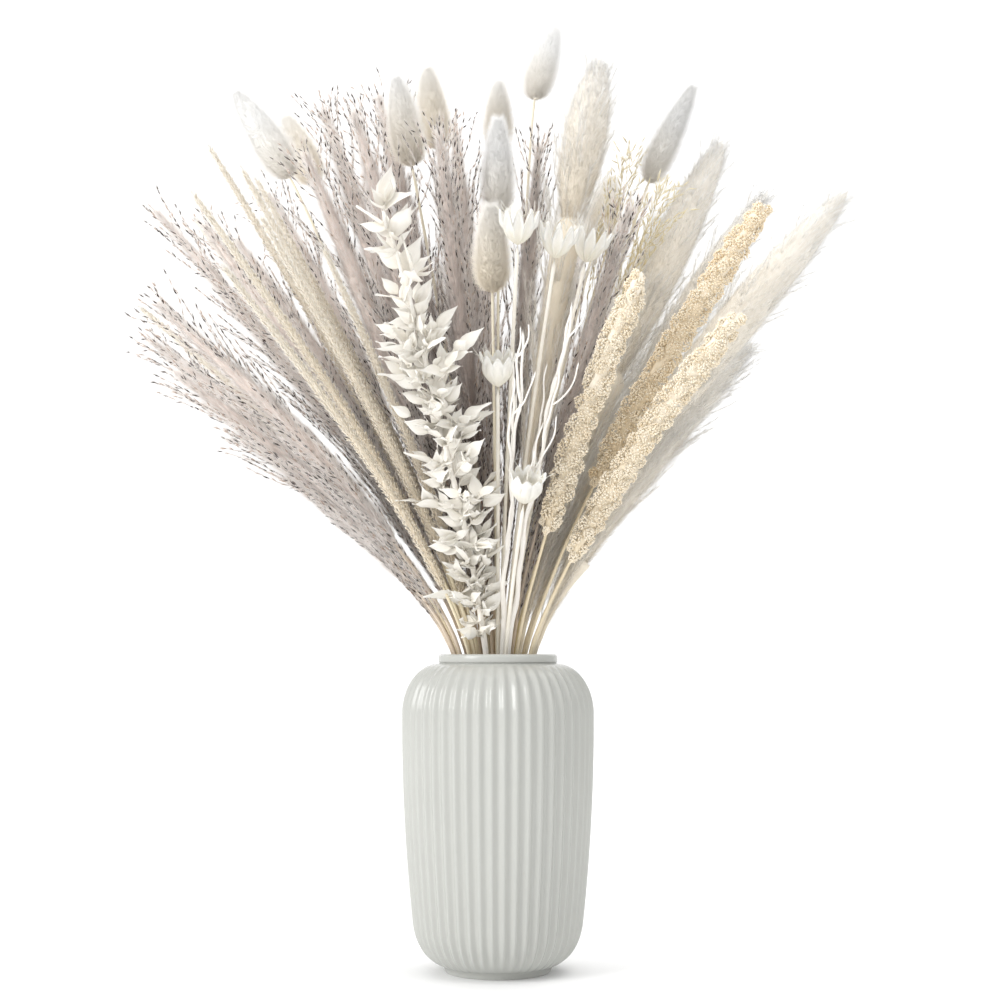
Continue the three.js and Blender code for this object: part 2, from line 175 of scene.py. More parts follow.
MIX_FACTOR, MIX_FIRST, MIX_SECOND, MIX_RESULT = 0, 6, 7, 2  # a colour Mix node's sockets
PLANT = {"specular": 0.25, "streak_length": 5, "streak_detail": 3.0}
GLAZE = {
    "colours": ("#bebfba", "#b7b8b3"), "speck": "#b9b4a8", "cloud_scale": 22, "cloud_detail": 4,
    "speck_scale": 700, "speck_detail": 1, "speck_from": 0.70, "speck_full": 0.78,
    "speck_most": 0.25, "roughness": (0.14, 0.24), "ripple_scale": 130, "ripple_strength": 0.12,
    "ripple_height": 0.0006, "ior": 1.5,
}


def new_material(name):
    """A material with nodes. Returns it with its tree and its shader."""
    material = bpy.data.materials.new(name)
    material.use_nodes = True
    tree = material.node_tree
    return material, tree, tree.nodes["Principled BSDF"]


def feed(tree, node, values):
    """Sets inputs of a node. Each value is a socket to link, or a plain value."""
    for key, value in values.items():
        if isinstance(value, bpy.types.NodeSocket):
            tree.links.new(value, node.inputs[key])
        else:
            node.inputs[key].default_value = value


def add_node(tree, kind, values):
    node = tree.nodes.new(kind)
    feed(tree, node, values)
    return node


def mix_colours(tree, how, factor, first, second):
    """A colour mix. factor, first and second are sockets, or plain values."""
    node = tree.nodes.new("ShaderNodeMix")
    node.data_type = "RGBA"
    node.blend_type = how
    feed(tree, node, {MIX_FACTOR: factor, MIX_FIRST: first, MIX_SECOND: second})
    return node.outputs[MIX_RESULT]


def plant_material(name, low, high, root="#ffffff", mottle="#f3eee8", fine=90, through=0.0,
                   roughness=0.85, rise=1.0):
    """Dried plant. Its colour goes from low, at the bottom of the head or stem, to high at the
    top, sooner where rise is small. root tints the foot of each hair or leaf, and the underside
    of a round grain, where it is painted shade. mottle is the tint of its streaks, which are
    thinner where fine is large, and through is how much light passes through it."""
    material, tree, shader = new_material(name)
    uv = tree.nodes.new("ShaderNodeUVMap")
    uv.uv_map = FUR_MAP
    split = add_node(tree, "ShaderNodeSeparateXYZ", {"Vector": uv.outputs["UV"]})
    power = add_node(tree, "ShaderNodeMath", {0: split.outputs["X"], 1: rise})
    power.operation = "POWER"
    colour = mix_colours(tree, "MIX", power.outputs["Value"], linear(low), linear(high))
    foot = mix_colours(tree, "MIX", split.outputs["Y"], linear(root), WHITE)
    colour = mix_colours(tree, "MULTIPLY", 1.0, colour, foot)
    stretch = add_node(tree, "ShaderNodeMapping", {
        "Scale": (fine, PLANT["streak_length"], 1), "Vector": uv.outputs["UV"]})
    noise = add_node(tree, "ShaderNodeTexNoise", {
        "Scale": 1.0, "Detail": PLANT["streak_detail"], "Vector": stretch.outputs["Vector"]})
    colour = mix_colours(tree, "MULTIPLY", noise.outputs["Fac"], colour, linear(mottle))
    feed(tree, shader, {
        "Base Color": colour, "Roughness": roughness, "Specular IOR Level": PLANT["specular"]})
    if through:
        glow = add_node(tree, "ShaderNodeBsdfTranslucent", {"Color": colour})
        both = add_node(tree, "ShaderNodeMixShader", {
            "Fac": through, 1: shader.outputs["BSDF"], 2: glow.outputs["BSDF"]})
        feed(tree, tree.nodes["Material Output"], {"Surface": both.outputs["Shader"]})
    return material


def glaze_material():
    """White stoneware glaze: a little thicker and greyer here and there, with a fine ripple."""
    material, tree, shader = new_material("white_glaze")
    where = tree.nodes.new("ShaderNodeTexCoord").outputs["Object"]
    cloud = add_node(tree, "ShaderNodeTexNoise", {
        "Scale": GLAZE["cloud_scale"], "Detail": GLAZE["cloud_detail"], "Vector": where})
    first, second = GLAZE["colours"]
    colour = mix_colours(tree, "MIX", cloud.outputs["Fac"], linear(first), linear(second))
    specks = add_node(tree, "ShaderNodeTexNoise", {
        "Scale": GLAZE["speck_scale"], "Detail": GLAZE["speck_detail"], "Vector": where})
    rare = add_node(tree, "ShaderNodeMapRange", {
        "From Min": GLAZE["speck_from"], "From Max": GLAZE["speck_full"],
        "To Max": GLAZE["speck_most"], "Value": specks.outputs["Fac"]})
    colour = mix_colours(tree, "MIX", rare.outputs["Result"], colour, linear(GLAZE["speck"]))
    smooth, rough = GLAZE["roughness"]
    gloss = add_node(tree, "ShaderNodeMapRange", {
        "To Min": smooth, "To Max": rough, "Value": cloud.outputs["Fac"]})
    ripple = add_node(tree, "ShaderNodeTexNoise", {"Scale": GLAZE["ripple_scale"], "Vector": where})
    bump = add_node(tree, "ShaderNodeBump", {
        "Strength": GLAZE["ripple_strength"], "Distance": GLAZE["ripple_height"],
        "Height": ripple.outputs["Fac"]})
    feed(tree, shader, {
        "Base Color": colour, "Roughness": gloss.outputs["Result"],
        "Normal": bump.outputs["Normal"], "IOR": GLAZE["ior"]})
    return material


# ---- Lines of the CAD stems ----

SAME_HEIGHT = 0.01
STRAIGHT_BELOW = 24.0  # a stem in the vase is straight up to this far below the vase's top
MIDDLE_SEARCH = (30, 8, 4, 2.5)  # how far from a stem's middle its corners are looked for, by turns
LINE = {"steps": 160, "least_gap": 0.2, "swollen": 1.03, "fitted_steps": 12}


def welded(node):
    """A CAD node's corner points in millimetres, once each, and the pairs that share an edge."""
    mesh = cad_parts[node].data
    points = np.empty(3 * len(mesh.vertices))
    mesh.vertices.foreach_get("co", points)
    points = points.reshape(-1, 3) / MM
    edges = np.empty(2 * len(mesh.edges), dtype=np.int64)
    mesh.edges.foreach_get("vertices", edges)
    _, first, same = np.unique(
        np.round(points, 3), axis=0, return_index=True, return_inverse=True)
    return points[first], same.reshape(-1)[edges.reshape(-1, 2)]


def rings_of(node):
    """The rings of corners of a CAD stem, from its cut end up, as centres and radii."""
    points, edges = welded(node)
    neighbours = [[] for _ in points]
    for a, b in edges:
        neighbours[a].append(b)
        neighbours[b].append(a)
    ring = list(np.flatnonzero(points[:, 2] < points[:, 2].min() + SAME_HEIGHT))
    seen = set(ring)
    centres, radii = [], []
    while ring:
        corners = points[ring]
        centre = corners.mean(axis=0)
        centres.append(centre)
        radii.append(np.linalg.norm(corners - centre, axis=1).max())
        ring = sorted({n for i in ring for n in neighbours[i]} - seen)
        seen.update(ring)
    centres, radii = np.array(centres), np.array(radii)
    moves = np.diff(centres, axis=0)
    back = np.flatnonzero((moves[1:] * moves[:-1]).sum(axis=1) < 0)
    end = back[0] + 2 if len(back) else len(centres)  # an open cup turns back at its rim
    return centres[:end], radii[:end]


def fitted_rings(node):
    """The same for a stem with shoots or leaves: a smooth curve through the corners nearest to
    its middle, found by starting wide and drawing in."""
    points, _ = welded(node)
    foot = points[points[:, 2] < points[:, 2].min() + SAME_HEIGHT]
    rise = points[:, 2] - VASE_TOP
    above = points[rise > 0]
    rise = rise[rise > 0]
    middle = foot.mean(axis=0)
    radius = np.linalg.norm(foot - middle, axis=1).max()
    powers = np.stack([rise ** k for k in range(4)], axis=1)
    near = np.ones(len(rise), dtype=bool)
    for reach in MIDDLE_SEARCH:
        curve = np.linalg.lstsq(powers[near], above[near][:, :2], rcond=None)[0]
        near = np.linalg.norm(powers @ curve - above[:, :2], axis=1) < reach
    heights = np.linspace(0, rise[near].max(), LINE["fitted_steps"])
    terms = np.stack([heights ** k for k in range(4)], axis=1)
    upper = np.column_stack([terms @ curve, heights + VASE_TOP])
    lower = [middle, [*middle[:2], VASE_TOP - STRAIGHT_BELOW]]
    centres = np.vstack([lower, upper])
    return centres, np.full(len(centres), radius)


class Line:
    """A stem's axis, with the directions along it and across it at each distance from the cut
    end. head is where its head starts, pale says how pale it is, from 0 to 1, and breadth how
    wide its plume spreads."""

    def __init__(self, centres, radii, pale, breadth):
        self.pale = pale
        self.breadth = breadth
        gaps = np.linalg.norm(np.diff(centres, axis=0), axis=1)
        keep = np.concatenate([[True], gaps > LINE["least_gap"]])
        centres, radii = centres[keep], radii[keep]
        gaps = np.linalg.norm(np.diff(centres, axis=0), axis=1)
        self.knots = np.concatenate([[0], np.cumsum(gaps)])
        self.radii = radii
        self.length = self.knots[-1]
        self.stem = radii[0]
        swollen = np.flatnonzero(radii > self.stem * LINE["swollen"])
        self.head = self.knots[swollen[0]] if len(swollen) else self.length
        self.fine = np.linspace(0, self.length, LINE["steps"])
        self.points = self._smooth(centres)
        self.tangents = unit(np.gradient(self.points, self.fine, axis=0))
        self.across = np.empty_like(self.points)
        side = across_from(self.tangents[0])
        for i, t in enumerate(self.tangents):
            side = unit(side - np.dot(side, t) * t)
            self.across[i] = side
        self.outs = np.cross(self.tangents, self.across)
        inside = self.points[:, 2] < VASE_TOP
        self.mouth = self.fine[np.count_nonzero(inside)]

    def _smooth(self, centres):
        """A cubic curve through the centres, with each slope taken from its neighbours."""
        slopes = np.gradient(centres, self.knots, axis=0)
        i = np.searchsorted(self.knots, self.fine, side="right") - 1
        i = np.clip(i, 0, len(self.knots) - 2)
        span = (self.knots[i + 1] - self.knots[i])[:, None]
        t = (self.fine - self.knots[i])[:, None] / span
        return ((2 * t ** 3 - 3 * t ** 2 + 1) * centres[i]
                + (t ** 3 - 2 * t ** 2 + t) * span * slopes[i]
                + (3 * t ** 2 - 2 * t ** 3) * centres[i + 1]
                + (t ** 3 - t ** 2) * span * slopes[i + 1])

    def _read(self, values, s):
        return np.stack([np.interp(s, self.fine, values[:, k]) for k in range(3)], axis=-1)

    def at(self, s):
        past = np.maximum(s - self.length, 0)[..., None]
        return self._read(self.points, s) + past * self.tangents[-1]

    def axes(self, s):
        return (self._read(self.tangents, s), self._read(self.across, s), self._read(self.outs, s))

    def around(self, s, r, turn):
        """The points at distance s, out from the axis by r, at an angle about it."""
        s, r, turn = np.broadcast_arrays(s, r, turn)
        _, across, out = self.axes(s)
        side = np.cos(turn)[..., None] * across + np.sin(turn)[..., None] * out
        return self.at(s) + r[..., None] * side

    def radius(self, s):
        return np.interp(s, self.knots, self.radii)


# ---- Meshes ----

MAP_WIDTH = 0.004  # how much the map's u varies around a tube
STEM = {
    "step": 5, "least_steps": 12, "joint_every": 9, "first_joint": 4, "joint": 1.12,
    "free_after": 60, "waves": (17, 23),
}


class Shape:
    """The triangles of one piece, its materials and its map of places."""

    def __init__(self):
        self.points, self.faces, self.map, self.slots = [], [], [], []
        self.count = 0

    def add(self, points, faces, place, along, slot):
        self.points.append(points.reshape(-1, 3))
        self.faces.append(faces.reshape(-1, 3) + self.count)
        self.map.append(np.stack([place.reshape(-1), along.reshape(-1)], axis=1))
        self.slots.append(np.full(faces.size // 3, slot, dtype=np.int32))
        self.count += points.size // 3

    def build(self, name, materials):
        points = np.concatenate(self.points) * MM
        faces = np.concatenate(self.faces).astype(np.int32)
        mesh = bpy.data.meshes.new(name)
        mesh.vertices.add(len(points))
        mesh.vertices.foreach_set("co", points.reshape(-1))
        mesh.loops.add(faces.size)
        mesh.loops.foreach_set("vertex_index", faces.reshape(-1))
        mesh.polygons.add(len(faces))
        mesh.polygons.foreach_set("loop_start", np.arange(len(faces), dtype=np.int32) * 3)
        mesh.polygons.foreach_set("material_index", np.concatenate(self.slots))
        mesh.polygons.foreach_set("use_smooth", np.ones(len(faces), dtype=bool))
        uv = mesh.uv_layers.new(name=FUR_MAP)
        uv.data.foreach_set("uv", np.concatenate(self.map)[faces.reshape(-1)].reshape(-1))
        for material in materials:
            mesh.materials.append(material)
        mesh.update(calc_edges=True)
        mesh.validate()
        return new_object(name, mesh)


def strip_faces(rings, around):
    """The triangles between each ring of points and the next one."""
    faces = []
    for i in range(rings - 1):
        for j in range(around):
            a, b = i * around + j, i * around + (j + 1) % around
            faces += [(a, b, b + around), (a, b + around, a + around)]
    return faces


def add_tubes(shape, paths, radii, place, slot=0, sides=3):
    """Closed tubes, one along each row of paths (rows, steps, 3), that end in a point whatever
    the last radius is. place is where on the head or stem each row grows, or each step lies."""
    rows, steps = paths.shape[:2]
    radii = np.broadcast_to(radii, (rows, steps))
    place = place if np.ndim(place) == 2 else np.reshape(place, (-1, 1))
    place = np.broadcast_to(place, (rows, steps))
    tangents = unit(np.gradient(paths, axis=1))
    first = across_from(tangents[:, 0])[:, None]
    across = unit(first - (first * tangents).sum(-1, keepdims=True) * tangents)
    outs = np.cross(tangents, across)
    turns = 2 * math.pi * np.arange(sides) / sides
    side = (np.cos(turns)[:, None] * across[:, :-1, None]
            + np.sin(turns)[:, None] * outs[:, :-1, None])
    rings = paths[:, :-1, None] + radii[:, :-1, None, None] * side
    points = np.concatenate([rings.reshape(rows, -1, 3), paths[:, -1:]], axis=1)
    each = points.shape[1]
    faces = strip_faces(steps - 1, sides)
    last = (steps - 2) * sides
    faces += [(last + j, last + (j + 1) % sides, each - 1) for j in range(sides)]
    faces += [(0, j + 1, j) for j in range(1, sides - 1)]
    faces = np.array(faces)[None] + (np.arange(rows) * each)[:, None, None]
    spread = (np.arange(sides) / sides - 0.5) * MAP_WIDTH
    where = place[:, :-1, None] + spread
    where = np.concatenate([where.reshape(rows, -1), place[:, -1:]], axis=1)
    along = np.repeat(np.linspace(0, 1, steps)[:-1], sides)
    along = np.broadcast_to(np.append(along, 1.0), (rows, each))
    shape.add(points, faces, np.clip(where, 0, 1), along, slot)


def add_stem(shape, line, slot, end, wobble=0.0, rng=None, sides=8, tip=0.35, thick=1.0):
    """The bare stem from its cut end to a distance along the line, with joints at intervals."""
    steps = max(STEM["least_steps"], int(end / STEM["step"]))
    s = np.linspace(0, end, steps)
    path = line.at(s)
    if wobble:
        phase = rng.uniform(0, 6, 4)
        _, across, out = line.axes(s)
        free = np.clip((s - line.mouth) / STEM["free_after"], 0, 1)[:, None]
        first, second = (np.sin(s / wave + phase[k]) for k, wave in enumerate(STEM["waves"]))
        path = path + free * wobble * (first[:, None] * across + second[:, None] * out)
    risen = np.clip((s - line.mouth) / (end - line.mouth + 1), 0, 1)
    radii = line.stem * thick * (1 - (1 - tip) * risen ** 2)
    jointed = np.arange(steps) % STEM["joint_every"] == STEM["first_joint"]
    radii = radii * np.where(jointed, STEM["joint"], 1.0)
    add_tubes(shape, path[None], radii[None], s[None] / end, slot, sides)


def blended(low, high, t):
    return low + (high - low) * t


def scatter_about(directions, spread, rng):
    """The directions, each turned by a random angle of about spread radians."""
    return unit(directions + rng.normal(0, spread, directions.shape))


# ---- Plumes: reeds, pampas and oats ----

CORE = {"short_of_tip": 0.5, "thinnest": 0.2}
DOWN = {
    "reach": 0.97, "sizes": (0.45, 1.15), "shorter_at_tip": 0.35, "lift_spread": 0.2,
    "lifts": (0.1, 1.5), "root_depth": 0.2, "turn_spread": 0.08,
}
BRANCH = {
    "reach": 0.98, "turn_spread": 0.4, "sizes": (0.65, 1.15), "room_at_mouth": 0.25,
    "full_room_above": 110, "outline_at": (0, 0.7, 1), "widths": (0.2, 1.1), "bend": 2.6,
    "rise": 0.97, "sway": 0.25, "gap": 0.2, "tip": 0.4,
}
SILK = {
    "from": 0.03, "sizes": (0.5, 1.2), "shorter_at_tip": 0.4, "paler": 0.25, "tone_spread": 0.05,
}
HUSK = {"shift": (0.2, 0.8), "from": 0.12, "lengths": (0.6, 1.25), "widths": (0.7, 1.2)}


def add_core(shape, line, share, slot, sides=16, steps=22, low=0.0, high=1.0):
    """The firm middle of a head, a share as thick as the CAD's."""
    s = np.linspace(line.head, line.length - CORE["short_of_tip"], steps)
    radii = np.maximum(line.radius(s) * share * line.breadth, CORE["thinnest"])
    place = np.clip(np.linspace(low, high, steps), 0, 1)
    add_tubes(shape, line.at(s)[None], radii[None], place[None], slot, sides)


def add_down(shape, line, spec, place, slot, rng):
    """Hairs all over a head's firm middle. They lean forward, more so towards its tip. place is
    that of the first hairs and of the last."""
    count = spec["down"]
    share = rng.uniform(0, 1, count)
    s = line.head + share * (line.length - line.head) * DOWN["reach"]
    turn = rng.uniform(0, 2 * math.pi, count)
    core = line.radius(s) * spec["core"] * line.breadth
    hair = spec["down_hair"] * rng.uniform(*DOWN["sizes"], count)
    hair = hair * (1 - DOWN["shorter_at_tip"] * share)
    lift = blended(*spec["lift"], share) + rng.normal(0, DOWN["lift_spread"], count)
    lift = np.clip(lift, *DOWN["lifts"])
    roots = line.around(s, core - DOWN["root_depth"], turn)
    tips = line.around(s + hair * np.cos(lift), core + hair * np.sin(lift),
                       turn + rng.normal(0, DOWN["turn_spread"], count))
    place = np.clip(blended(*place, share), 0, 1)
    add_tubes(shape, np.stack([roots, tips], axis=1), spec["down_radius"], place, slot)


def plume_branches(line, spec, rng):
    """Fine branches that leave the axis of a head and rise beside it. Returns their paths, the
    place of each on the head, and their lengths."""
    start = max(line.head - spec["skirt"], line.mouth + spec["clear"])
    length = line.length - start
    count = int(length * spec["branches_per_mm"])
    t = np.sort(rng.beta(*spec["crowd"], count)) * BRANCH["reach"]
    turn = np.arange(count) * GOLDEN + rng.normal(0, BRANCH["turn_spread"], count)
    size = blended(*spec["branch"], t) * rng.uniform(*BRANCH["sizes"], count)
    size = np.minimum(size, (1 - t) * length + spec["past_tip"])
    height = start + t * length - line.mouth
    room = blended(BRANCH["room_at_mouth"], 1, np.clip(height / BRANCH["full_room_above"], 0, 1))
    outline = np.interp(t, BRANCH["outline_at"], spec["outline"])
    width = spec["width"] * line.breadth * room * outline
    width = width * rng.uniform(*BRANCH["widths"], count)
    d = np.linspace(0, 1, spec["steps"])[None]
    out = width[:, None] * (1 - np.exp(-BRANCH["bend"] * d))
    out = out + spec["flare"] * width[:, None] * d ** 3
    s = start + (t * length)[:, None] + size[:, None] * d * BRANCH["rise"]
    sway = rng.normal(0, BRANCH["sway"], (count, 1)) * d
    paths = line.around(s, out + BRANCH["gap"], turn[:, None] + sway)
    paths[..., 2] -= spec["sag"] * (size[:, None] * d) ** 2
    return paths, t, size


def along_paths(paths, rows, share):
    """Points and directions at a share of the length of the given rows of paths."""
    steps = paths.shape[1]
    at = share * (steps - 1)
    i = np.clip(at.astype(int), 0, steps - 2)
    part = (at - i)[:, None]
    low, high = paths[rows, i], paths[rows, i + 1]
    return low + (high - low) * part, unit(high - low)


def add_hairs(shape, roots, directions, lengths, radius, place, slot):
    """Straight hairs, each one a thin closed spike."""
    paths = np.stack([roots, roots + directions * lengths[:, None]], axis=1)
    add_tubes(shape, paths, radius, place, slot)


def add_grains(shape, roots, directions, lengths, widths, place, slot, sides=3):
    """Pointed seeds or husks."""
    share = np.array([0, 0.4, 1.0])
    swell = np.array([0.5, 1.0, 0.0])
    paths = roots[:, None] + directions[:, None] * lengths[:, None, None] * share[None, :, None]
    add_tubes(shape, paths, widths[:, None] * swell[None], place, slot, sides)


def add_silk(shape, line, spec, paths, t, size, slot, rng):
    """Fine hairs along the branches of a plume."""
    number = np.maximum((size * spec["hairs_per_mm"]).astype(int), 1)
    rows = np.repeat(np.arange(len(paths)), number)
    count = len(rows)
    share = rng.uniform(SILK["from"], 1.0, count)
    roots, directions = along_paths(paths, rows, share)
    directions = scatter_about(directions, spec["hair_spread"], rng)
    lengths = spec["hair"] * rng.uniform(*SILK["sizes"], count)
    lengths = lengths * (1 - SILK["shorter_at_tip"] * t[rows] ** 3)
    place = t[rows] + SILK["paler"] * share * (1 - t[rows])
    place = np.clip(place + rng.normal(0, SILK["tone_spread"], count), 0, 1)
    place = blended(line.pale, 1, place)
    add_hairs(shape, roots, directions, lengths, spec["hair_radius"], place, slot)


def add_husks(shape, spec, paths, t, size, slots, rng):
    """Husks along the branches of a plume, evenly spaced, of a dark and a pale kind."""
    number = np.maximum((size / spec["husk_gap"]).astype(int), 1)
    rows = np.repeat(np.arange(len(paths)), number)
    count = len(rows)
    first = np.repeat(np.cumsum(number) - number, number)
    share = (np.arange(count) - first + rng.uniform(*HUSK["shift"], count)) / number[rows]
    roots, directions = along_paths(paths, rows, blended(HUSK["from"], 1, share))
    directions = scatter_about(directions, spec["husk_spread"], rng)
    length, width = spec["husk"]
    lengths = length * rng.uniform(*HUSK["lengths"], count)
    widths = width * rng.uniform(*HUSK["widths"], count)
    dark = rng.uniform(0, 1, count) < spec["dark_share"]
    for slot, chosen in zip(slots, (dark, ~dark)):
        add_grains(shape, roots[chosen], directions[chosen], lengths[chosen], widths[chosen],
                   t[rows][chosen], slot)


def add_plume(shape, line, spec, rng, hair_slot, branch_slot, husk_slots):
    paths, t, size = plume_branches(line, spec, rng)
    thin = np.linspace(1, BRANCH["tip"], spec["steps"])
    add_tubes(shape, paths, spec["branch_radius"] * thin[None], t, branch_slot)
    add_silk(shape, line, spec, paths, t, size, hair_slot, rng)
    if husk_slots:
        add_husks(shape, spec, paths, t, size, husk_slots, rng)


PLUME = {
    "steps": 6, "clear": 8, "crowd": (1.15, 0.95), "hairs_per_mm": 3.0, "hair_radius": 0.06,
    "down_radius": 0.06, "stem_tip": 0.2,
}
REED = {
    **PLUME, "branches_per_mm": 0.36, "skirt": 170,
    "branch": (76, 30), "past_tip": 5, "width": 12, "outline": (0.95, 1.15, 0.95), "flare": 0.25,
    "sag": 0.0008, "branch_radius": 0.11, "hair": 9.0, "hair_spread": 0.2,
    "husk_gap": 4.4, "husk": (3.5, 0.42), "husk_spread": 0.17, "dark_share": 0.6, "core": 0.75,
    "down": 7500, "down_hair": 12.0, "lift": (0.55, 0.35), "stem_end": 0.985,
}
PAMPAS = {
    **PLUME, "branches_per_mm": 1.25, "skirt": 150,
    "branch": (58, 16), "past_tip": 0, "width": 1.25, "outline": (1.0, 1.1, 0.55), "flare": 0.1,
    "sag": 0.0010, "branch_radius": 0.08, "hair": 8.5, "hair_spread": 0.24, "core": 0.85,
    "down": 8000, "down_hair": 9.5, "lift": (0.5, 0.35), "skirt_clear": 25, "skirt_lap": 15,
    "skirt_wide": 0.65, "skirt_curve": 1.2, "skirt_steps": 14, "skirt_sides": 12,
    "stem_end": 0.97,
}
OAT = {
    **PLUME, "branches_per_mm": 0.4, "steps": 7, "skirt": 20, "clear": 20, "crowd": (1.2, 1.0),
    "branch": (52, 24), "past_tip": 6, "width": 12, "outline": (1, 1, 0.6), "flare": 0.5,
    "sag": 0.0015, "branch_radius": 0.14, "hairs_per_mm": 1.2, "hair": 9.0, "hair_spread": 0.3,
    "hair_radius": 0.05, "husk_gap": 4.0, "husk": (5.0, 0.42), "husk_spread": 0.35,
    "dark_share": 0.35, "stem_end": 0.97,
}


def start_plume(line, spec):
    shape = Shape()
    add_stem(shape, line, 0, line.length * spec["stem_end"], tip=spec["stem_tip"])
    return shape


def build_reed(line, rng):
    shape = start_plume(line, REED)
    # Slot 4 is the reed core colour, which is painted shade.
    add_core(shape, line, REED["core"], 4, low=line.pale)
    add_down(shape, line, REED, (line.pale, 1.0), 1, rng)
    add_plume(shape, line, REED, rng, 1, 0, (2, 3))
    return shape


def add_skirt(shape, line, spec, slot):
    """A cone of pale down below a head, that widens from near the mouth up into the head."""
    share = np.linspace(0, 1, spec["skirt_steps"])
    s = blended(line.mouth + spec["skirt_clear"], line.head + spec["skirt_lap"], share)
    wide = line.radii.max() * spec["core"] * line.breadth * spec["skirt_wide"]
    radii = line.stem + wide * share ** spec["skirt_curve"]
    place = blended(0, line.pale, share)
    add_tubes(shape, line.at(s)[None], radii[None], place[None], slot, spec["skirt_sides"])


def build_pampas(line, rng):
    shape = start_plume(line, PAMPAS)
    # Slot 2 is the pampas core colour, which is painted shade, for both the core and the skirt.
    add_core(shape, line, PAMPAS["core"], 2, low=line.pale)
    add_skirt(shape, line, PAMPAS, 2)
    add_down(shape, line, PAMPAS, (line.pale, 1.0), 1, rng)
    width = line.radii.max() * PAMPAS["width"]
    add_plume(shape, line, {**PAMPAS, "width": width}, rng, 1, 0, ())
    return shape


def build_oat(line, rng):
    shape = start_plume(line, OAT)
    add_plume(shape, line, OAT, rng, 1, 0, (2, 3))
    return shape


# ---- Bunny tails ----

BUNNY = {
    "core": 0.7, "down": 12000, "down_hair": 7.6, "down_radius": 0.05, "lift": (1.1, 0.5),
    "stem_in": 3, "stem_tip": 0.8, "shade": 0.25,
}


def build_bunny(line, rng):
    shape = Shape()
    # Painted shade, partly the bunny tail's real tan: each head is darker and warmer at its foot
    # and paler at its top, by BUNNY's shade either side of its paleness.
    low, high = line.pale - BUNNY["shade"], line.pale + BUNNY["shade"]
    add_stem(shape, line, 0, line.head + BUNNY["stem_in"], tip=BUNNY["stem_tip"])
    add_core(shape, line, BUNNY["core"], 1, low=low, high=high)
    add_down(shape, line, BUNNY, (low, high), 1, rng)
    return shape


# ---- Foxtails and millet ----

FOXTAIL = {
    "stem_in": 3, "stem_tip": 0.9, "core": 0.5, "core_sides": 10, "core_steps": 40, "reach": 0.985,
    "grains_per_mm": 10.0, "grain": (2.1, 0.40), "grain_lengths": (0.7, 1.2),
    "grain_widths": (0.8, 1.15), "grain_spread": 0.2, "turn_spread": 0.15, "tuft_gap": 3.6,
    "tuft_swell": 0.46, "outline_at": (0, 0.5, 1), "outline": (0.68, 0.6, 0.42),
    "ahead": (2.0, 0.95), "bristles_per_mm": 11.0, "bristle": 4.4, "bristle_sizes": (0.5, 1.2),
    "bristle_root": 0.55, "bristle_ahead": (3, 1.7), "bristle_spread": 0.15,
    "bristle_radius": 0.05, "longer_at_tip": 0.5,
}


def leaning(line, s, out, turn, ahead, spread, rng):
    """Roots at distance s and radius out, and directions that lean forward and out by ahead."""
    roots = line.around(s, out, turn)
    forward, outward = ahead
    towards = line.around(s + forward, out + outward, turn)
    return roots, scatter_about(unit(towards - roots), spread, rng)


def build_foxtail(line, rng):
    v = FOXTAIL
    shape = Shape()
    add_stem(shape, line, 0, line.head + v["stem_in"], tip=v["stem_tip"])
    add_core(shape, line, v["core"], 1, sides=v["core_sides"], steps=v["core_steps"])
    length = line.length - line.head
    count = int(length * v["grains_per_mm"])
    share = (np.arange(count) + 0.5) / count
    s = line.head + share * length * v["reach"]
    turn = np.arange(count) * GOLDEN + rng.normal(0, v["turn_spread"], count)
    tuft = np.sin(2 * math.pi * s / v["tuft_gap"] + 2 * turn + rng.uniform(0, 6))
    slim = line.radius(s) * np.interp(share, v["outline_at"], v["outline"])
    out = slim * (1 + v["tuft_swell"] * tuft)
    roots, directions = leaning(line, s, out, turn, v["ahead"], v["grain_spread"], rng)
    grain_length, grain_width = v["grain"]
    lengths = grain_length * rng.uniform(*v["grain_lengths"], count)
    widths = grain_width * rng.uniform(*v["grain_widths"], count)
    add_grains(shape, roots, directions, lengths, widths, share, 1)
    count = int(length * v["bristles_per_mm"])
    share = rng.uniform(0, 1, count)
    s = line.head + share * length
    turn = rng.uniform(0, 2 * math.pi, count)
    out = line.radius(s) * v["bristle_root"]
    roots, directions = leaning(
        line, s, out, turn, v["bristle_ahead"], v["bristle_spread"], rng)
    lengths = v["bristle"] * rng.uniform(*v["bristle_sizes"], count)
    lengths = lengths * (1 + v["longer_at_tip"] * share)
    add_hairs(shape, roots, directions, lengths, v["bristle_radius"], share, 2)
    return shape


def icosahedron():
    """The points, at distance 1 from the middle, and the faces of a 20-sided ball."""
    g = (1 + math.sqrt(5)) / 2
    points = [(-1, g, 0), (1, g, 0), (-1, -g, 0), (1, -g, 0), (0, -1, g), (0, 1, g),
              (0, -1, -g), (0, 1, -g), (g, 0, -1), (g, 0, 1), (-g, 0, -1), (-g, 0, 1)]
    faces = [(0, 11, 5), (0, 5, 1), (0, 1, 7), (0, 7, 10), (0, 10, 11), (1, 5, 9), (5, 11, 4),
             (11, 10, 2), (10, 7, 6), (7, 1, 8), (3, 9, 4), (3, 4, 2), (3, 2, 6), (3, 6, 8),
             (3, 8, 9), (4, 9, 5), (2, 4, 11), (6, 2, 10), (8, 6, 7), (9, 8, 1)]
    return unit(np.array(points, dtype=float)), np.array(faces)


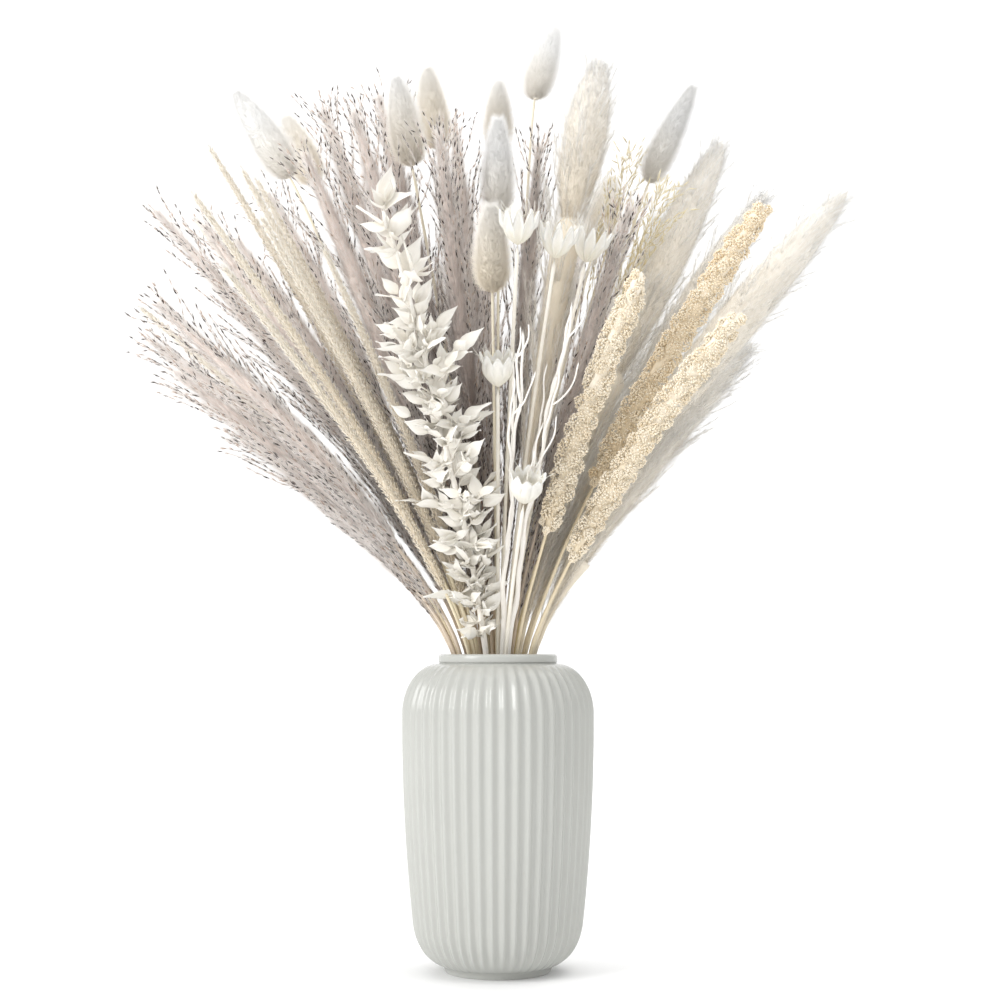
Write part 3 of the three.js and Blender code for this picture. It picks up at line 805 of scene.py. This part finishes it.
def add_balls(shape, centres, radii, place, slot, rng):
    points, faces = icosahedron()
    rows = len(centres)
    stretch = radii[:, None] * rng.uniform(*MILLET["grain_stretch"], (rows, 3))
    placed = centres[:, None] + points[None] * stretch[:, None]
    numbered = faces[None] + (np.arange(rows) * len(points))[:, None, None]
    where = np.clip(place[:, None] + points[None, :, 0] * MAP_WIDTH / 2, 0, 1)
    # along is a grain's height, so the material's root tint is painted shade on the underside of
    # each grain, partly also the real golden tone between grains.
    along = np.broadcast_to(0.5 + 0.5 * points[None, :, 2], where.shape)
    shape.add(placed, numbered, where, along, slot)


MILLET = {
    "stem_in": 4, "stem_tip": 0.8, "stem_thick": 0.75, "core": 0.55, "core_sides": 12,
    "core_steps": 40, "lobe_gap": 1.8, "lobe": 3.1, "lobe_shift": 0.6, "short_of_tip": 2,
    "turn_spread": 0.25, "outline_at": (0, 0.06, 0.2, 0.8, 0.93, 1),
    "outline": (0.5, 0.8, 1, 1, 0.85, 0.55), "lobe_out": 0.68, "lobe_sizes": (0.75, 1.2),
    "lobe_shape": (0.95, 1.0, 1.2), "grains": 72, "grain": 0.56, "grain_sizes": (0.8, 1.12),
    "grain_stretch": (0.85, 1.15), "covered": 1.55, "grain_shift": 0.28, "lobe_tones": 0.08,
    "grain_tones": 0.12, "bristles_per_mm": 2.2, "bristle": (1.6, 3.0), "bristle_spread": 0.3,
    "bristle_radius": 0.05,
}


def build_millet(line, rng):
    """A knobbly ear: lobes set round the axis in a spiral, each covered with round grains."""
    v = MILLET
    shape = Shape()
    add_stem(shape, line, 0, line.head + v["stem_in"], tip=v["stem_tip"], thick=v["stem_thick"])
    add_core(shape, line, v["core"], 1, sides=v["core_sides"], steps=v["core_steps"],
             low=line.pale, high=line.pale)
    length = line.length - line.head
    lobes, grains = int(length / v["lobe_gap"]), v["grains"]
    share = (np.arange(lobes) + v["lobe_shift"]) / lobes
    s = line.head + share * (length - v["short_of_tip"])
    turn = np.arange(lobes) * GOLDEN + rng.normal(0, v["turn_spread"], lobes)
    fat = np.interp(share, v["outline_at"], v["outline"])
    centres = line.around(s, line.radii.max() * v["lobe_out"] * fat, turn)
    along, across, out = line.axes(s)
    outward = np.cos(turn)[:, None] * across + np.sin(turn)[:, None] * out
    lobe_axes = np.stack([outward, np.cross(along, outward), along], axis=1)
    k = np.arange(grains) + 0.5
    height = 1 - v["covered"] * k / grains  # from the lobe's outermost point to past its edge
    ring = np.sqrt(np.maximum(1 - height ** 2, 0))
    pattern = np.stack([height, ring * np.cos(k * GOLDEN), ring * np.sin(k * GOLDEN)], axis=1)
    size = v["lobe"] * fat * rng.uniform(*v["lobe_sizes"], lobes)
    size = size[:, None] * np.array(v["lobe_shape"])
    spots = centres[:, None] + np.einsum("kc,lcd->lkd", pattern, lobe_axes * size[..., None])
    spots = spots.reshape(-1, 3) + rng.normal(0, v["grain_shift"], (lobes * grains, 3))
    tone = np.repeat(line.pale + rng.normal(0, v["lobe_tones"], lobes), grains)
    place = np.clip(tone + rng.normal(0, v["grain_tones"], len(spots)), 0, 1)
    radii = v["grain"] * rng.uniform(*v["grain_sizes"], len(spots))
    add_balls(shape, spots, radii, place, 1, rng)
    count = int(length * v["bristles_per_mm"])
    rows = rng.integers(0, len(spots), count)
    middle = line.at(s[rows // grains])
    directions = scatter_about(unit(spots[rows] - middle), v["bristle_spread"], rng)
    lengths = rng.uniform(*v["bristle"], count)
    add_hairs(shape, spots[rows], directions, lengths, v["bristle_radius"], place[rows], 2)
    return shape


# ---- Nigella pods ----

NIGELLA = {
    "lobes": 10, "per_lobe": 12, "levels": 14, "height": 16.0, "wall": 0.45, "inner_lift": 0.15,
    "short_and_tall": (280, 340), "teeth": (0.14, 0.22), "teeth_opened": 0.28, "uneven": 0.04,
    "base_drop": 0.3, "styles": 16, "style_steps": 9, "reach": (6, 11), "lean": (0.2, 0.9),
    "lean_spread": 0.8, "turn_spread": 0.15, "curl": 0.5, "style_at": 0.8,
    "style_radii": (0.2, 0.09), "style_place": 0.9, "style_sides": 4,
}


def cup_radius(level, ridge, opened, rim):
    """How far the cup's wall is from its axis, at a share of its height. ridge is 1 along the
    middle of a lobe and 0 between two lobes."""
    round_up = 0.10 + 0.90 * np.sin(min(level * (1.5 - 0.4 * opened), 1) * math.pi / 2) ** 0.8
    flare = 1 - 0.10 * np.clip((level - 0.45) / 0.3, 0, 1) + 0.16 * max(0, level - 0.8) / 0.2
    flare = flare * (1 + 0.25 * opened * max(0, level - 0.5))
    return rim * round_up * flare * (1 + 0.13 * (ridge ** 0.6 - 0.8) * min(1.0, level * 4))


def add_cup(shape, line, base, rng):
    """An open cup of ribbed, pointed lobes, with an outside, an inside and a closed bottom."""
    lobes = NIGELLA["lobes"]
    opened = np.interp(line.length, NIGELLA["short_and_tall"], [0, 1])  # the tallest open widest
    teeth = rng.uniform(*NIGELLA["teeth"]) + NIGELLA["teeth_opened"] * opened
    turns = np.linspace(0, 2 * math.pi, lobes * NIGELLA["per_lobe"], endpoint=False)
    ridge = np.abs(np.cos(turns * lobes / 2))
    lobe = (turns * lobes / (2 * math.pi) + 0.5).astype(int) % lobes
    uneven = rng.uniform(-NIGELLA["uneven"], NIGELLA["uneven"], lobes)[lobe]
    top = 1 - teeth * (1 - ridge ** 1.2) + uneven * ridge
    up = np.linspace(0, 1, NIGELLA["levels"])
    down = up[::-1][:-2]
    rings = []
    for levels, inset, lift in ((up, 0, 0), (down, NIGELLA["wall"], NIGELLA["inner_lift"])):
        for level in levels:
            rise = level * top * NIGELLA["height"] + lift
            wall = cup_radius(level, ridge, opened, line.radii.max())
            if inset:
                wall = np.maximum(wall - inset, 0.1)
            rings.append(line.around(base + rise, wall, turns))
    rings = np.array(rings)
    below = line.at(np.array(base - NIGELLA["base_drop"]))
    points = np.concatenate([rings.reshape(-1, 3), [below, rings[-1].mean(axis=0)]])
    around = len(turns)
    faces = strip_faces(len(rings), around)
    last = (len(rings) - 1) * around
    for j in range(around):
        faces.append(((j + 1) % around, j, len(points) - 2))
        faces.append((last + j, last + (j + 1) % around, len(points) - 1))
    place = np.concatenate([np.tile(turns / (2 * math.pi), len(rings)), [0.5, 0.5]])
    heights = np.repeat(np.concatenate([up, down]), around)
    shape.add(points, np.array(faces), place, np.append(heights, [0, 0]), 1)


def add_styles(shape, line, base, rng):
    """Thin curled threads that stand round a pod's rim."""
    count, steps = NIGELLA["styles"], NIGELLA["style_steps"]
    turn = np.arange(count) * 2 * math.pi / count + rng.normal(0, NIGELLA["turn_spread"], count)
    share = np.linspace(0, 1, steps)[None]
    reach = rng.uniform(*NIGELLA["reach"], count)[:, None]
    lean = rng.uniform(*NIGELLA["lean"], count)[:, None]
    lean = lean + rng.normal(0, NIGELLA["lean_spread"], (count, 1)) * share
    start = NIGELLA["style_at"]
    out = line.radii.max() * start + np.cumsum(np.sin(lean), axis=1) * reach / steps
    rise = NIGELLA["height"] * start + np.cumsum(np.cos(lean), axis=1) * reach / steps
    curl = rng.normal(0, NIGELLA["curl"], (count, 1)) * share ** 2
    paths = line.around(base + rise, out, turn[:, None] + curl)
    thin = np.linspace(*NIGELLA["style_radii"], steps)
    place = np.full(count, NIGELLA["style_place"])
    add_tubes(shape, paths, thin[None], place, 1, sides=NIGELLA["style_sides"])


def build_nigella(line, rng):
    shape = Shape()
    base = line.knots[np.searchsorted(line.knots, line.head) - 1]
    add_stem(shape, line, 0, base, tip=1.0)
    add_cup(shape, line, base, rng)
    add_styles(shape, line, base, rng)
    return shape


# ---- Leaves and twigs ----

LEAF = {
    "length": 15.0, "width": 7.2, "thickness": 0.18, "edge": 0.02, "rows": 11, "columns": 7,
    "outline_at": (0, 0.08, 0.22, 0.4, 0.58, 0.74, 0.88, 1),
    "outline": (0.12, 0.55, 0.93, 1, 0.76, 0.36, 0.11, 0.02),
    "cup": (0.0, 0.5), "curl": (-0.5, 0.8), "wave": (0.03, 0.10), "waves": (5, 11),
    "midrib": 0.35, "twist": 0.35, "vein_tone": 0.03,
}
RUSCUS = {
    "shoots": 64, "leaves": 7, "few": 5, "bare": 0.72, "bare_from": 0.88, "shoot": 18.0,
    "first": 8, "wobble": 0.5, "shift": 0.3, "turn_spread": 0.3, "lean": (35, 88),
    "sizes": (0.45, 1.2), "sizes_at": (0, 0.2, 0.45, 0.7, 0.8, 1),
    "outline": (0.4, 0.8, 1.1, 1.0, 0.5, 0.3), "shoot_steps": 6, "shoot_radii": (0.4, 0.15),
    "droop": 0.12, "leaf_at": (0.1, 0.95), "end_splay": (0.0, 0.5), "splay": (0.5, 1.15),
    "leaf_sizes": (0.6, 1.1), "grown_at": (0, 0.7, 0.8), "grown": (0.9, 1.0, 1.3),
}


def leaf_faces(rows, columns):
    """The faces of a leaf's upper side, its under side and the edge between them."""
    under = rows * columns
    faces = []
    for i in range(rows - 1):
        for j in range(columns - 1):
            a = i * columns + j
            b, c, d = a + 1, a + columns + 1, a + columns
            faces += [(a, b, c), (a, c, d)]
            faces += [(under + a, under + c, under + b), (under + a, under + d, under + c)]
    loop = (list(range(columns))
            + [i * columns + columns - 1 for i in range(1, rows)]
            + [(rows - 1) * columns + j for j in range(columns - 2, -1, -1)]
            + [i * columns for i in range(rows - 2, 0, -1)])
    for a, b in zip(loop, loop[1:] + loop[:1]):
        faces += [(a, under + a, under + b), (a, under + b, b)]
    return np.array(faces)


def add_leaf(shape, root, direction, normal, length, width, place, slot, rng):
    """A pointed papery leaf with a raised midrib, cupped, with a curled tip and wavy edges."""
    rows, columns = LEAF["rows"], LEAF["columns"]
    t = np.linspace(0, 1, rows)[:, None]
    w = np.linspace(-1, 1, columns)[None]
    side = np.cross(direction, normal)
    half = width / 2 * np.interp(t, LEAF["outline_at"], LEAF["outline"])
    cup = rng.uniform(*LEAF["cup"])
    curl = rng.uniform(*LEAF["curl"])
    wave = rng.uniform(*LEAF["wave"]) * width
    lift = (cup * np.abs(w) ** 1.6 * half + curl * length * 0.22 * t ** 2.2
            + wave * np.sin(t * rng.uniform(*LEAF["waves"]) + rng.uniform(0, 6)) * w
            - LEAF["midrib"] * np.exp(-(w * 4) ** 2) * (1 - t))
    twist = rng.normal(0, LEAF["twist"]) * t
    sideways = half * w * np.cos(twist) - lift * np.sin(twist)
    upwards = half * w * np.sin(twist) + lift * np.cos(twist)
    sheet = (root + direction * (t * length)[..., None] * np.ones((1, columns, 1))
             + side * sideways[..., None] + normal * upwards[..., None])
    thin = LEAF["thickness"] * (1 - 0.85 * np.abs(w) ** 3) * (1 - 0.6 * t ** 3) + LEAF["edge"]
    sheets = [sheet + normal * thin[..., None] / 2, sheet - normal * thin[..., None] / 2]
    points = np.concatenate([side.reshape(-1, 3) for side in sheets])
    along = np.broadcast_to(t, (rows, columns)).reshape(-1)
    veins = place + LEAF["vein_tone"] * np.broadcast_to(w, (rows, columns)).reshape(-1)
    veins = np.tile(np.clip(veins, 0, 1), 2)
    shape.add(points, leaf_faces(rows, columns), veins, np.tile(along, 2), slot)


def add_cluster(shape, root, shoot, size, along, outward, share, rng):
    """The leaves of one shoot: one at its end, and the others along it."""
    for k in range(RUSCUS["leaves"] if share < RUSCUS["bare"] else RUSCUS["few"]):
        at = 1.0 if k == 0 else rng.uniform(*RUSCUS["leaf_at"])
        spin = k * GOLDEN + rng.uniform(0, 1)
        side = math.cos(spin) * np.cross(shoot, outward) + math.sin(spin) * outward
        splay = rng.uniform(*RUSCUS["end_splay" if k == 0 else "splay"])
        direction = unit(math.cos(splay) * shoot + math.sin(splay) * unit(side))
        normal = 0.5 * along + 0.8 * outward + rng.normal(0, 0.8, 3)
        normal = unit(normal - np.dot(normal, direction) * direction)
        grown = rng.uniform(*RUSCUS["leaf_sizes"])
        grown = grown * np.interp(share, RUSCUS["grown_at"], RUSCUS["grown"])
        add_leaf(shape, root + shoot * at * size, direction, normal,
                 LEAF["length"] * grown, LEAF["width"] * grown, share, 1, rng)


def build_ruscus(line, rng):
    """A stem with short side shoots, each with a cluster of leaves."""
    v = RUSCUS
    shape = Shape()
    add_stem(shape, line, 0, line.length, tip=0.45, wobble=v["wobble"], rng=rng)
    first = line.mouth + v["first"]
    reach = line.length - 2 - first
    for i in range(v["shoots"]):
        share = (i + rng.uniform(-v["shift"], v["shift"])) / (v["shoots"] - 1)
        share = np.interp(np.clip(share, 0, 1), [0, v["bare_from"], 1], [0, v["bare"], 1])
        s = np.array(first + share * reach)
        turn = i * GOLDEN + rng.normal(0, v["turn_spread"])
        along, across, out = line.axes(s)
        outward = math.cos(turn) * across + math.sin(turn) * out
        lean = math.radians(rng.uniform(*v["lean"])) * (1 - 0.4 * share)
        shoot = unit(math.cos(lean) * along + math.sin(lean) * outward)
        size = v["shoot"] * rng.uniform(*v["sizes"]) * np.interp(share, v["sizes_at"], v["outline"])
        steps = np.linspace(0, 1, v["shoot_steps"])[:, None]
        path = line.at(s) + shoot * steps * size - along * v["droop"] * size * steps ** 2
        radii = line.stem * np.linspace(*v["shoot_radii"], v["shoot_steps"])
        add_tubes(shape, path[None], radii[None], np.full(1, share), 0, sides=5)
        add_cluster(shape, line.at(s), shoot, size, along, outward, share, rng)
    return shape


TWIG = {
    "steps": 90, "sides": 8, "stem": 1.15, "tip": 0.35, "free_after": 40, "wave": 0.9,
    "wavelength": 52, "knot": 0.22, "knot_wave": 5.3, "knot_share": 0.25, "shoots": 5,
    "first": 0.30, "apart": 0.12, "shoot": 0.36, "shorter": 0.04, "sizes": (0.85, 1.2),
    "turn_spread": 0.5, "thick": 0.7,
}
FORK = {
    "steps": 22, "sides": 7, "swing": (5, 10), "bend": 2.5, "wave": 0.7, "wavelength": 34,
    "tip": 0.28, "places": (0.5, 0.95),
}
TIP_FORK = {"at": 0.6, "length": 0.45, "turn": 1.6, "thick": 0.42, "root": 8}


def wavy(path, across, out, distance, rng, size, wavelength):
    """A path with an uneven side-to-side wave put on it."""
    phase = rng.uniform(0, 6, 4)
    turn = 2 * math.pi * distance / wavelength
    first = np.sin(turn + phase[0]) + 0.5 * np.sin(2.3 * turn + phase[1])
    second = np.sin(0.8 * turn + phase[2]) + 0.5 * np.sin(1.9 * turn + phase[3])
    return path + size * (first[:, None] * across + second[:, None] * out)


def build_twig(line, rng):
    """A bleached, wavy, forked twig. Its shoots leave it left and right and run up beside it, and
    every other shoot forks again."""
    v = TWIG
    shape = Shape()
    reach = line.length - line.mouth
    s = np.linspace(0, line.length, v["steps"])
    _, across, out = line.axes(s)
    free = v["wave"] * np.clip((s - line.mouth) / v["free_after"], 0, 1)[:, None]
    path = wavy(line.at(s), across, out, s, rng, free, v["wavelength"])
    bump = np.clip(np.sin(s / v["knot_wave"]) - 1 + v["knot_share"], 0, 1) / v["knot_share"]
    knots = 1 + v["knot"] * bump
    taper = np.interp(s, [0, line.mouth, line.length], [1, 1, v["tip"]])
    radii = line.stem * v["stem"] * knots * taper
    add_tubes(shape, path[None], radii[None], s[None] / line.length, 0, sides=v["sides"])
    for i in range(v["shoots"]):
        base = np.searchsorted(s, line.mouth + reach * (v["first"] + v["apart"] * i))
        length = reach * (v["shoot"] - v["shorter"] * i) * rng.uniform(*v["sizes"])
        turn = (i % 2) * math.pi + rng.normal(0, v["turn_spread"])
        add_fork(shape, line, path[base], s[base], length, turn, v["thick"], rng)
        if i % 2 == 0:
            root = shape.points[-1][-1 - FORK["sides"] * TIP_FORK["root"]]
            add_fork(shape, line, root, s[base] + length * TIP_FORK["at"],
                     length * TIP_FORK["length"], turn + TIP_FORK["turn"], TIP_FORK["thick"], rng)
    return shape


def add_fork(shape, line, root, s, length, turn, thick, rng):
    """One side shoot of a twig: it starts at root, swings out and runs up beside the stem."""
    d = np.linspace(0, 1, FORK["steps"])
    along, across, out = line.axes(np.array(s))
    side = math.cos(turn) * across + math.sin(turn) * out
    swing = rng.uniform(*FORK["swing"]) * (1 - np.exp(-FORK["bend"] * d))
    path = root + (length * d)[:, None] * along + swing[:, None] * side
    free = FORK["wave"] * np.minimum(1, 4 * d)[:, None]
    path = wavy(path, across, out, length * d, rng, free, FORK["wavelength"])
    path[0] = root
    radii = line.stem * blended(thick, FORK["tip"], d)
    add_tubes(shape, path[None], radii[None], blended(*FORK["places"], d)[None], 0,
              sides=FORK["sides"])


# ---- The vase ----

VASE = {
    "body": 47.6, "lower": 42.2, "neck": 29.7, "mouth": 26.3, "collar": 29.1, "foot": 26.0,
    "foot_height": 3.2, "heel": 26.2, "shoulder": 125.4, "neck_height": 150.4, "wall": 4.0,
    "floor": 5.0, "lip": 1.6, "ribs": 48, "rib_depth": 1.6, "rib_fade": 9.0,
    "rib_fade_curve": 0.7, "rib_sharpness": 0.85, "per_rib": 10,
}


def bow(a, b, c, steps):
    """A curve from a to c that b pulls on, without its first point."""
    t = np.linspace(0, 1, steps + 1)[1:, None]
    return (1 - t) ** 2 * np.array(a) + 2 * t * (1 - t) * np.array(b) + t ** 2 * np.array(c)


def rounded(centre, radii, start, end, steps):
    """An arc in the plane of radius and height. Its angles are in degrees."""
    t = np.radians(np.linspace(start, end, steps))
    return np.stack([centre[0] + radii[0] * np.cos(t), centre[1] + radii[1] * np.sin(t)], axis=1)


def vase_outline():
    """Radius and height pairs from the foot up over the shoulder and lip, and down the inside.
    Returns them with the number of them that lie outside, below the lip."""
    v, top = VASE, VASE_TOP
    middle = (v["heel"] + v["shoulder"]) / 2
    lip, crown = v["lip"], (v["body"] - v["collar"], v["neck_height"] - v["shoulder"])
    outside = np.concatenate([
        rounded((v["foot"] - 0.6, 0.6), (0.6, 0.6), -90, 0, 5),
        [(v["foot"] + 0.9, v["foot_height"] - 0.3)],
        bow((v["foot"] + 0.9, v["foot_height"] - 0.3), (v["lower"] - 1.5, v["foot_height"] + 4.5),
            (v["lower"], v["heel"]), 22),
        bow((v["lower"], v["heel"]), (v["body"], middle), (v["body"], v["shoulder"]), 50),
        rounded((v["collar"], v["shoulder"]), crown, 3, 88, 34),
    ])
    mouth = np.concatenate([
        rounded((v["neck"] - 1.0, v["neck_height"] + 1.2), (1.0, 1.0), -80, 0, 5),
        rounded((v["neck"] - lip, top - lip), (lip, lip), 10, 90, 7),
        rounded((v["mouth"] + lip, top - lip), (lip, lip), 90, 180, 7),
    ])
    inner_body, inner_low = v["body"] - v["wall"], v["lower"] - v["wall"]
    neck_in = v["neck_height"] - v["wall"]
    inside = np.concatenate([
        [(v["mouth"], neck_in)],
        bow((v["mouth"], neck_in), (inner_body, neck_in), (inner_body, v["shoulder"]), 14),
        bow((inner_body, v["shoulder"]), (inner_body, middle), (inner_low, v["heel"]), 10),
        bow((inner_low, v["heel"]), (inner_low, v["floor"]), (v["foot"], v["floor"]), 10),
    ])
    return np.concatenate([outside, mouth, inside]), len(outside)


def build_vase():
    """The turned vase, with rounded ribs and a rounded valley between two ribs."""
    v = VASE
    outline, outer = vase_outline()
    around = v["ribs"] * v["per_rib"]
    turn = 2 * math.pi * np.arange(around) / around - math.pi / 2
    across = np.abs((np.arange(around) / v["per_rib"] + 0.5) % 1 - 0.5) * 2  # 0 in a valley
    valley = (0.5 + 0.5 * np.cos(math.pi * across)) ** v["rib_sharpness"]
    radius, height = outline[:, :1], outline[:, 1:]
    fade = np.minimum(height - v["foot_height"], v["neck_height"] - height) / v["rib_fade"]
    fade = np.clip(fade, 0, 1) ** v["rib_fade_curve"]
    fade[outer:] = 0
    rings = radius - v["rib_depth"] * fade * valley[None]
    points = np.stack([rings * np.cos(turn), rings * np.sin(turn),
                       np.broadcast_to(height, rings.shape)], axis=-1)
    count = len(outline)
    i, j = np.meshgrid(np.arange(count - 1), np.arange(around), indexing="ij")
    a, b = i * around + j, i * around + (j + 1) % around
    quads = np.stack([a, b, b + around, a + around], axis=-1).reshape(-1, 4)
    ends = [list(range(around))[::-1], list(range((count - 1) * around, count * around))]
    mesh = bpy.data.meshes.new("vase_visual")
    mesh.from_pydata(points.reshape(-1, 3) * MM, [], quads.tolist() + ends)
    mesh.polygons.foreach_set("use_smooth", [True] * len(quads) + [False, False])
    mesh.materials.append(glaze_material())
    mesh.update()
    return new_object("vase_visual", mesh)


# ---- The bunch ----

LOOKS = {
    "reed_stalk": {"low": "#cdbca2", "high": "#e6dbd0"},
    # The dark brown low end of reed_silk and of the reed core is partly the reeds' real brown and
    # partly painted shade of the crowded lower middle of the bunch.
    "reed_silk": {"low": "#5f493d", "high": "#fffbf8", "rise": 0.7, "mottle": "#fcf7f3"},
    # Painted shade: a reed's core is darker and greyer than its silk, so its smooth middle looks as
    # shaded as the hairs around it.
    "reed_core_painted_shade": {"low": "#5f493d", "high": "#f9efe9", "rise": 0.7, "mottle": "#f1e6de"},
    "reed_husk": {"low": "#2b1e18", "high": "#3d2d27"},
    "reed_straw": {"low": "#9c8574", "high": "#d8c6ba"},
    "foxtail_stalk": {"low": "#ddd0b0", "high": "#eae0c6"},
    "foxtail_grain": {"low": "#f5eee0", "high": "#fcf9f2", "root": "#faf4e8"},
    "foxtail_bristle": {"low": "#faf5ea", "high": "#fffefa"},
    "bunny_stalk": {"low": "#ded4b6", "high": "#f3edda"},
    "bunny_fur": {"low": "#f8eacf", "high": "#fffffe", "mottle": "#fefdfc"},
    "pampas_stalk": {"low": "#eadfc6", "high": "#f8f2e4"},
    "pampas_silk": {"low": "#f8e9cd", "high": "#fffffe", "mottle": "#fefdfc", "rise": 0.6},
    # Painted shade: a pampas core, and the skirt below it, are darker and greyer than the silk, so
    # they look as shaded as the hairs around them.
    "pampas_core_painted_shade": {"low": "#f7ebd4", "high": "#f1ede6", "rise": 0.6, "mottle": "#f3f0ea"},
    "oat_stalk": {"low": "#d0c18c", "high": "#f1e4bb"},
    "oat_silk": {"low": "#fbf2d8", "high": "#fffcf2", "mottle": "#fdfcfa"},
    "oat_husk": {"low": "#f1e2b3", "high": "#fbf4da", "through": 0.2},
    "millet_stalk": {"low": "#ece3cd", "high": "#ecdfc2"},
    # millet_grain's root colour lies on the underside of each grain. It is painted shade, partly
    # also the real golden tone between grains.
    "millet_grain": {"low": "#f3e0bd", "high": "#fdfaf4", "root": "#f7efdf", "mottle": "#faf4e8"},
    "millet_bristle": {"low": "#faf0d4", "high": "#fffbf0"},
    "nigella_stalk": {"low": "#e4dcc4", "high": "#fcfaf3"},
    "nigella_cup": {"low": "#fdfdfc", "high": "#fefefd", "root": "#f6f2e6", "through": 0.15,
                    "fine": 40, "mottle": "#f8f6f1"},
    "bleached_twig": {"low": "#faf7f0", "high": "#fffefb", "fine": 24},
    "ruscus_stalk": {"low": "#f6f2e8", "high": "#fdfcf9"},
    "ruscus_leaf": {"low": "#fefdfa", "high": "#fefdfb", "root": "#fcfaf5", "through": 0.1,
                    "fine": 240, "mottle": "#f8f5ef", "roughness": 0.55},
}

KINDS = {
    "reed_plume": (build_reed, "reed",
                   ("reed_stalk", "reed_silk", "reed_husk", "reed_straw", "reed_core_painted_shade")),
    "foxtail_spike": (build_foxtail, "foxtail",
                      ("foxtail_stalk", "foxtail_grain", "foxtail_bristle")),
    "bunny_tail": (build_bunny, "bunny_tail", ("bunny_stalk", "bunny_fur")),
    "pampas_plume": (build_pampas, "pampas", ("pampas_stalk", "pampas_silk", "pampas_core_painted_shade")),
    "oat_head": (build_oat, "oat", ("oat_stalk", "oat_silk", "oat_husk", "oat_husk")),
    "millet_spike": (build_millet, "millet", ("millet_stalk", "millet_grain", "millet_bristle")),
    "nigella_pod": (build_nigella, "seed_pod", ("nigella_stalk", "nigella_cup")),
    "white_twig": (build_twig, "twig", ("bleached_twig",)),
    "ruscus_branch": (build_ruscus, "leaf", ("ruscus_stalk", "ruscus_leaf")),
}
FORKED = ("white_twig", "ruscus_branch")
PALENESS = {
    # For reeds, a low paleness lets the plume's dark brown low end show. The reeds in the middle,
    # 12 to 18, are made darkest, partly for their real brown and partly as painted shade.
    "reed_plume": 0.85, "reed_plume_01": 0.75, "reed_plume_03": 0.75, "reed_plume_08": 0.7,
    "reed_plume_09": 0.55, "reed_plume_10": 0.6, "reed_plume_11": 0.6, "reed_plume_12": 0.0,
    "reed_plume_13": 0.0, "reed_plume_14": 0.0, "reed_plume_15": 0.2, "reed_plume_16": 0.4,
    "reed_plume_17": 0.25, "reed_plume_18": 0.4, "reed_plume_19": 0.6,
    "bunny_tail": 0.95, "bunny_tail_02": 0.6, "bunny_tail_03": 0.75, "bunny_tail_04": 0.6,
    "bunny_tail_05": 0.7, "bunny_tail_09": 0.6, "bunny_tail_10": 0.6,
    "pampas_plume": 0.35, "pampas_plume_01": 0.2, "pampas_plume_06": 0.2,
    "millet_spike": 0.95, "millet_spike_02": 0.7,
}
BREADTH = {
    "pampas_plume_07": 0.5, "reed_plume_19": 0.5, "reed_plume_02": 0.8, "reed_plume_05": 0.95,
    "reed_plume_08": 1.3, "reed_plume_09": 1.3, "reed_plume_10": 1.3, "reed_plume_12": 1.35,
    "reed_plume_13": 1.35, "reed_plume_14": 1.35, "reed_plume_15": 1.3, "reed_plume_16": 1.2,
    "reed_plume_01": 1.2, "reed_plume_03": 1.2,
}


def stand_for(piece, node):
    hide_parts(node)
    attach(piece, "root")


def build_bunch():
    materials = {name: plant_material(name, **look) for name, look in LOOKS.items()}
    for number, node in enumerate(sorted(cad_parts)):
        kind = node.rstrip("0123456789").rstrip("_")
        if kind not in KINDS:
            continue
        build, slot, looks = KINDS[kind]
        rings = fitted_rings(node) if kind in FORKED else rings_of(node)
        pale = PALENESS.get(node, PALENESS.get(kind, 0.8))
        line = Line(*rings, pale, BREADTH.get(node, 1.0))
        shape = build(line, np.random.default_rng(SEED + number))
        stand_for(shape.build(node + "_visual", [materials[name] for name in looks]), node)


VASE_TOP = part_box("vase")[1][2] / MM

make_camera()
make_lights()
make_floor()
stand_for(build_vase(), "vase")
build_bunch()

boxes = {"cad": cad_box, "visual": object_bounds()}
boxes = {name: [list(map(float, corner)) for corner in box] for name, box in boxes.items()}
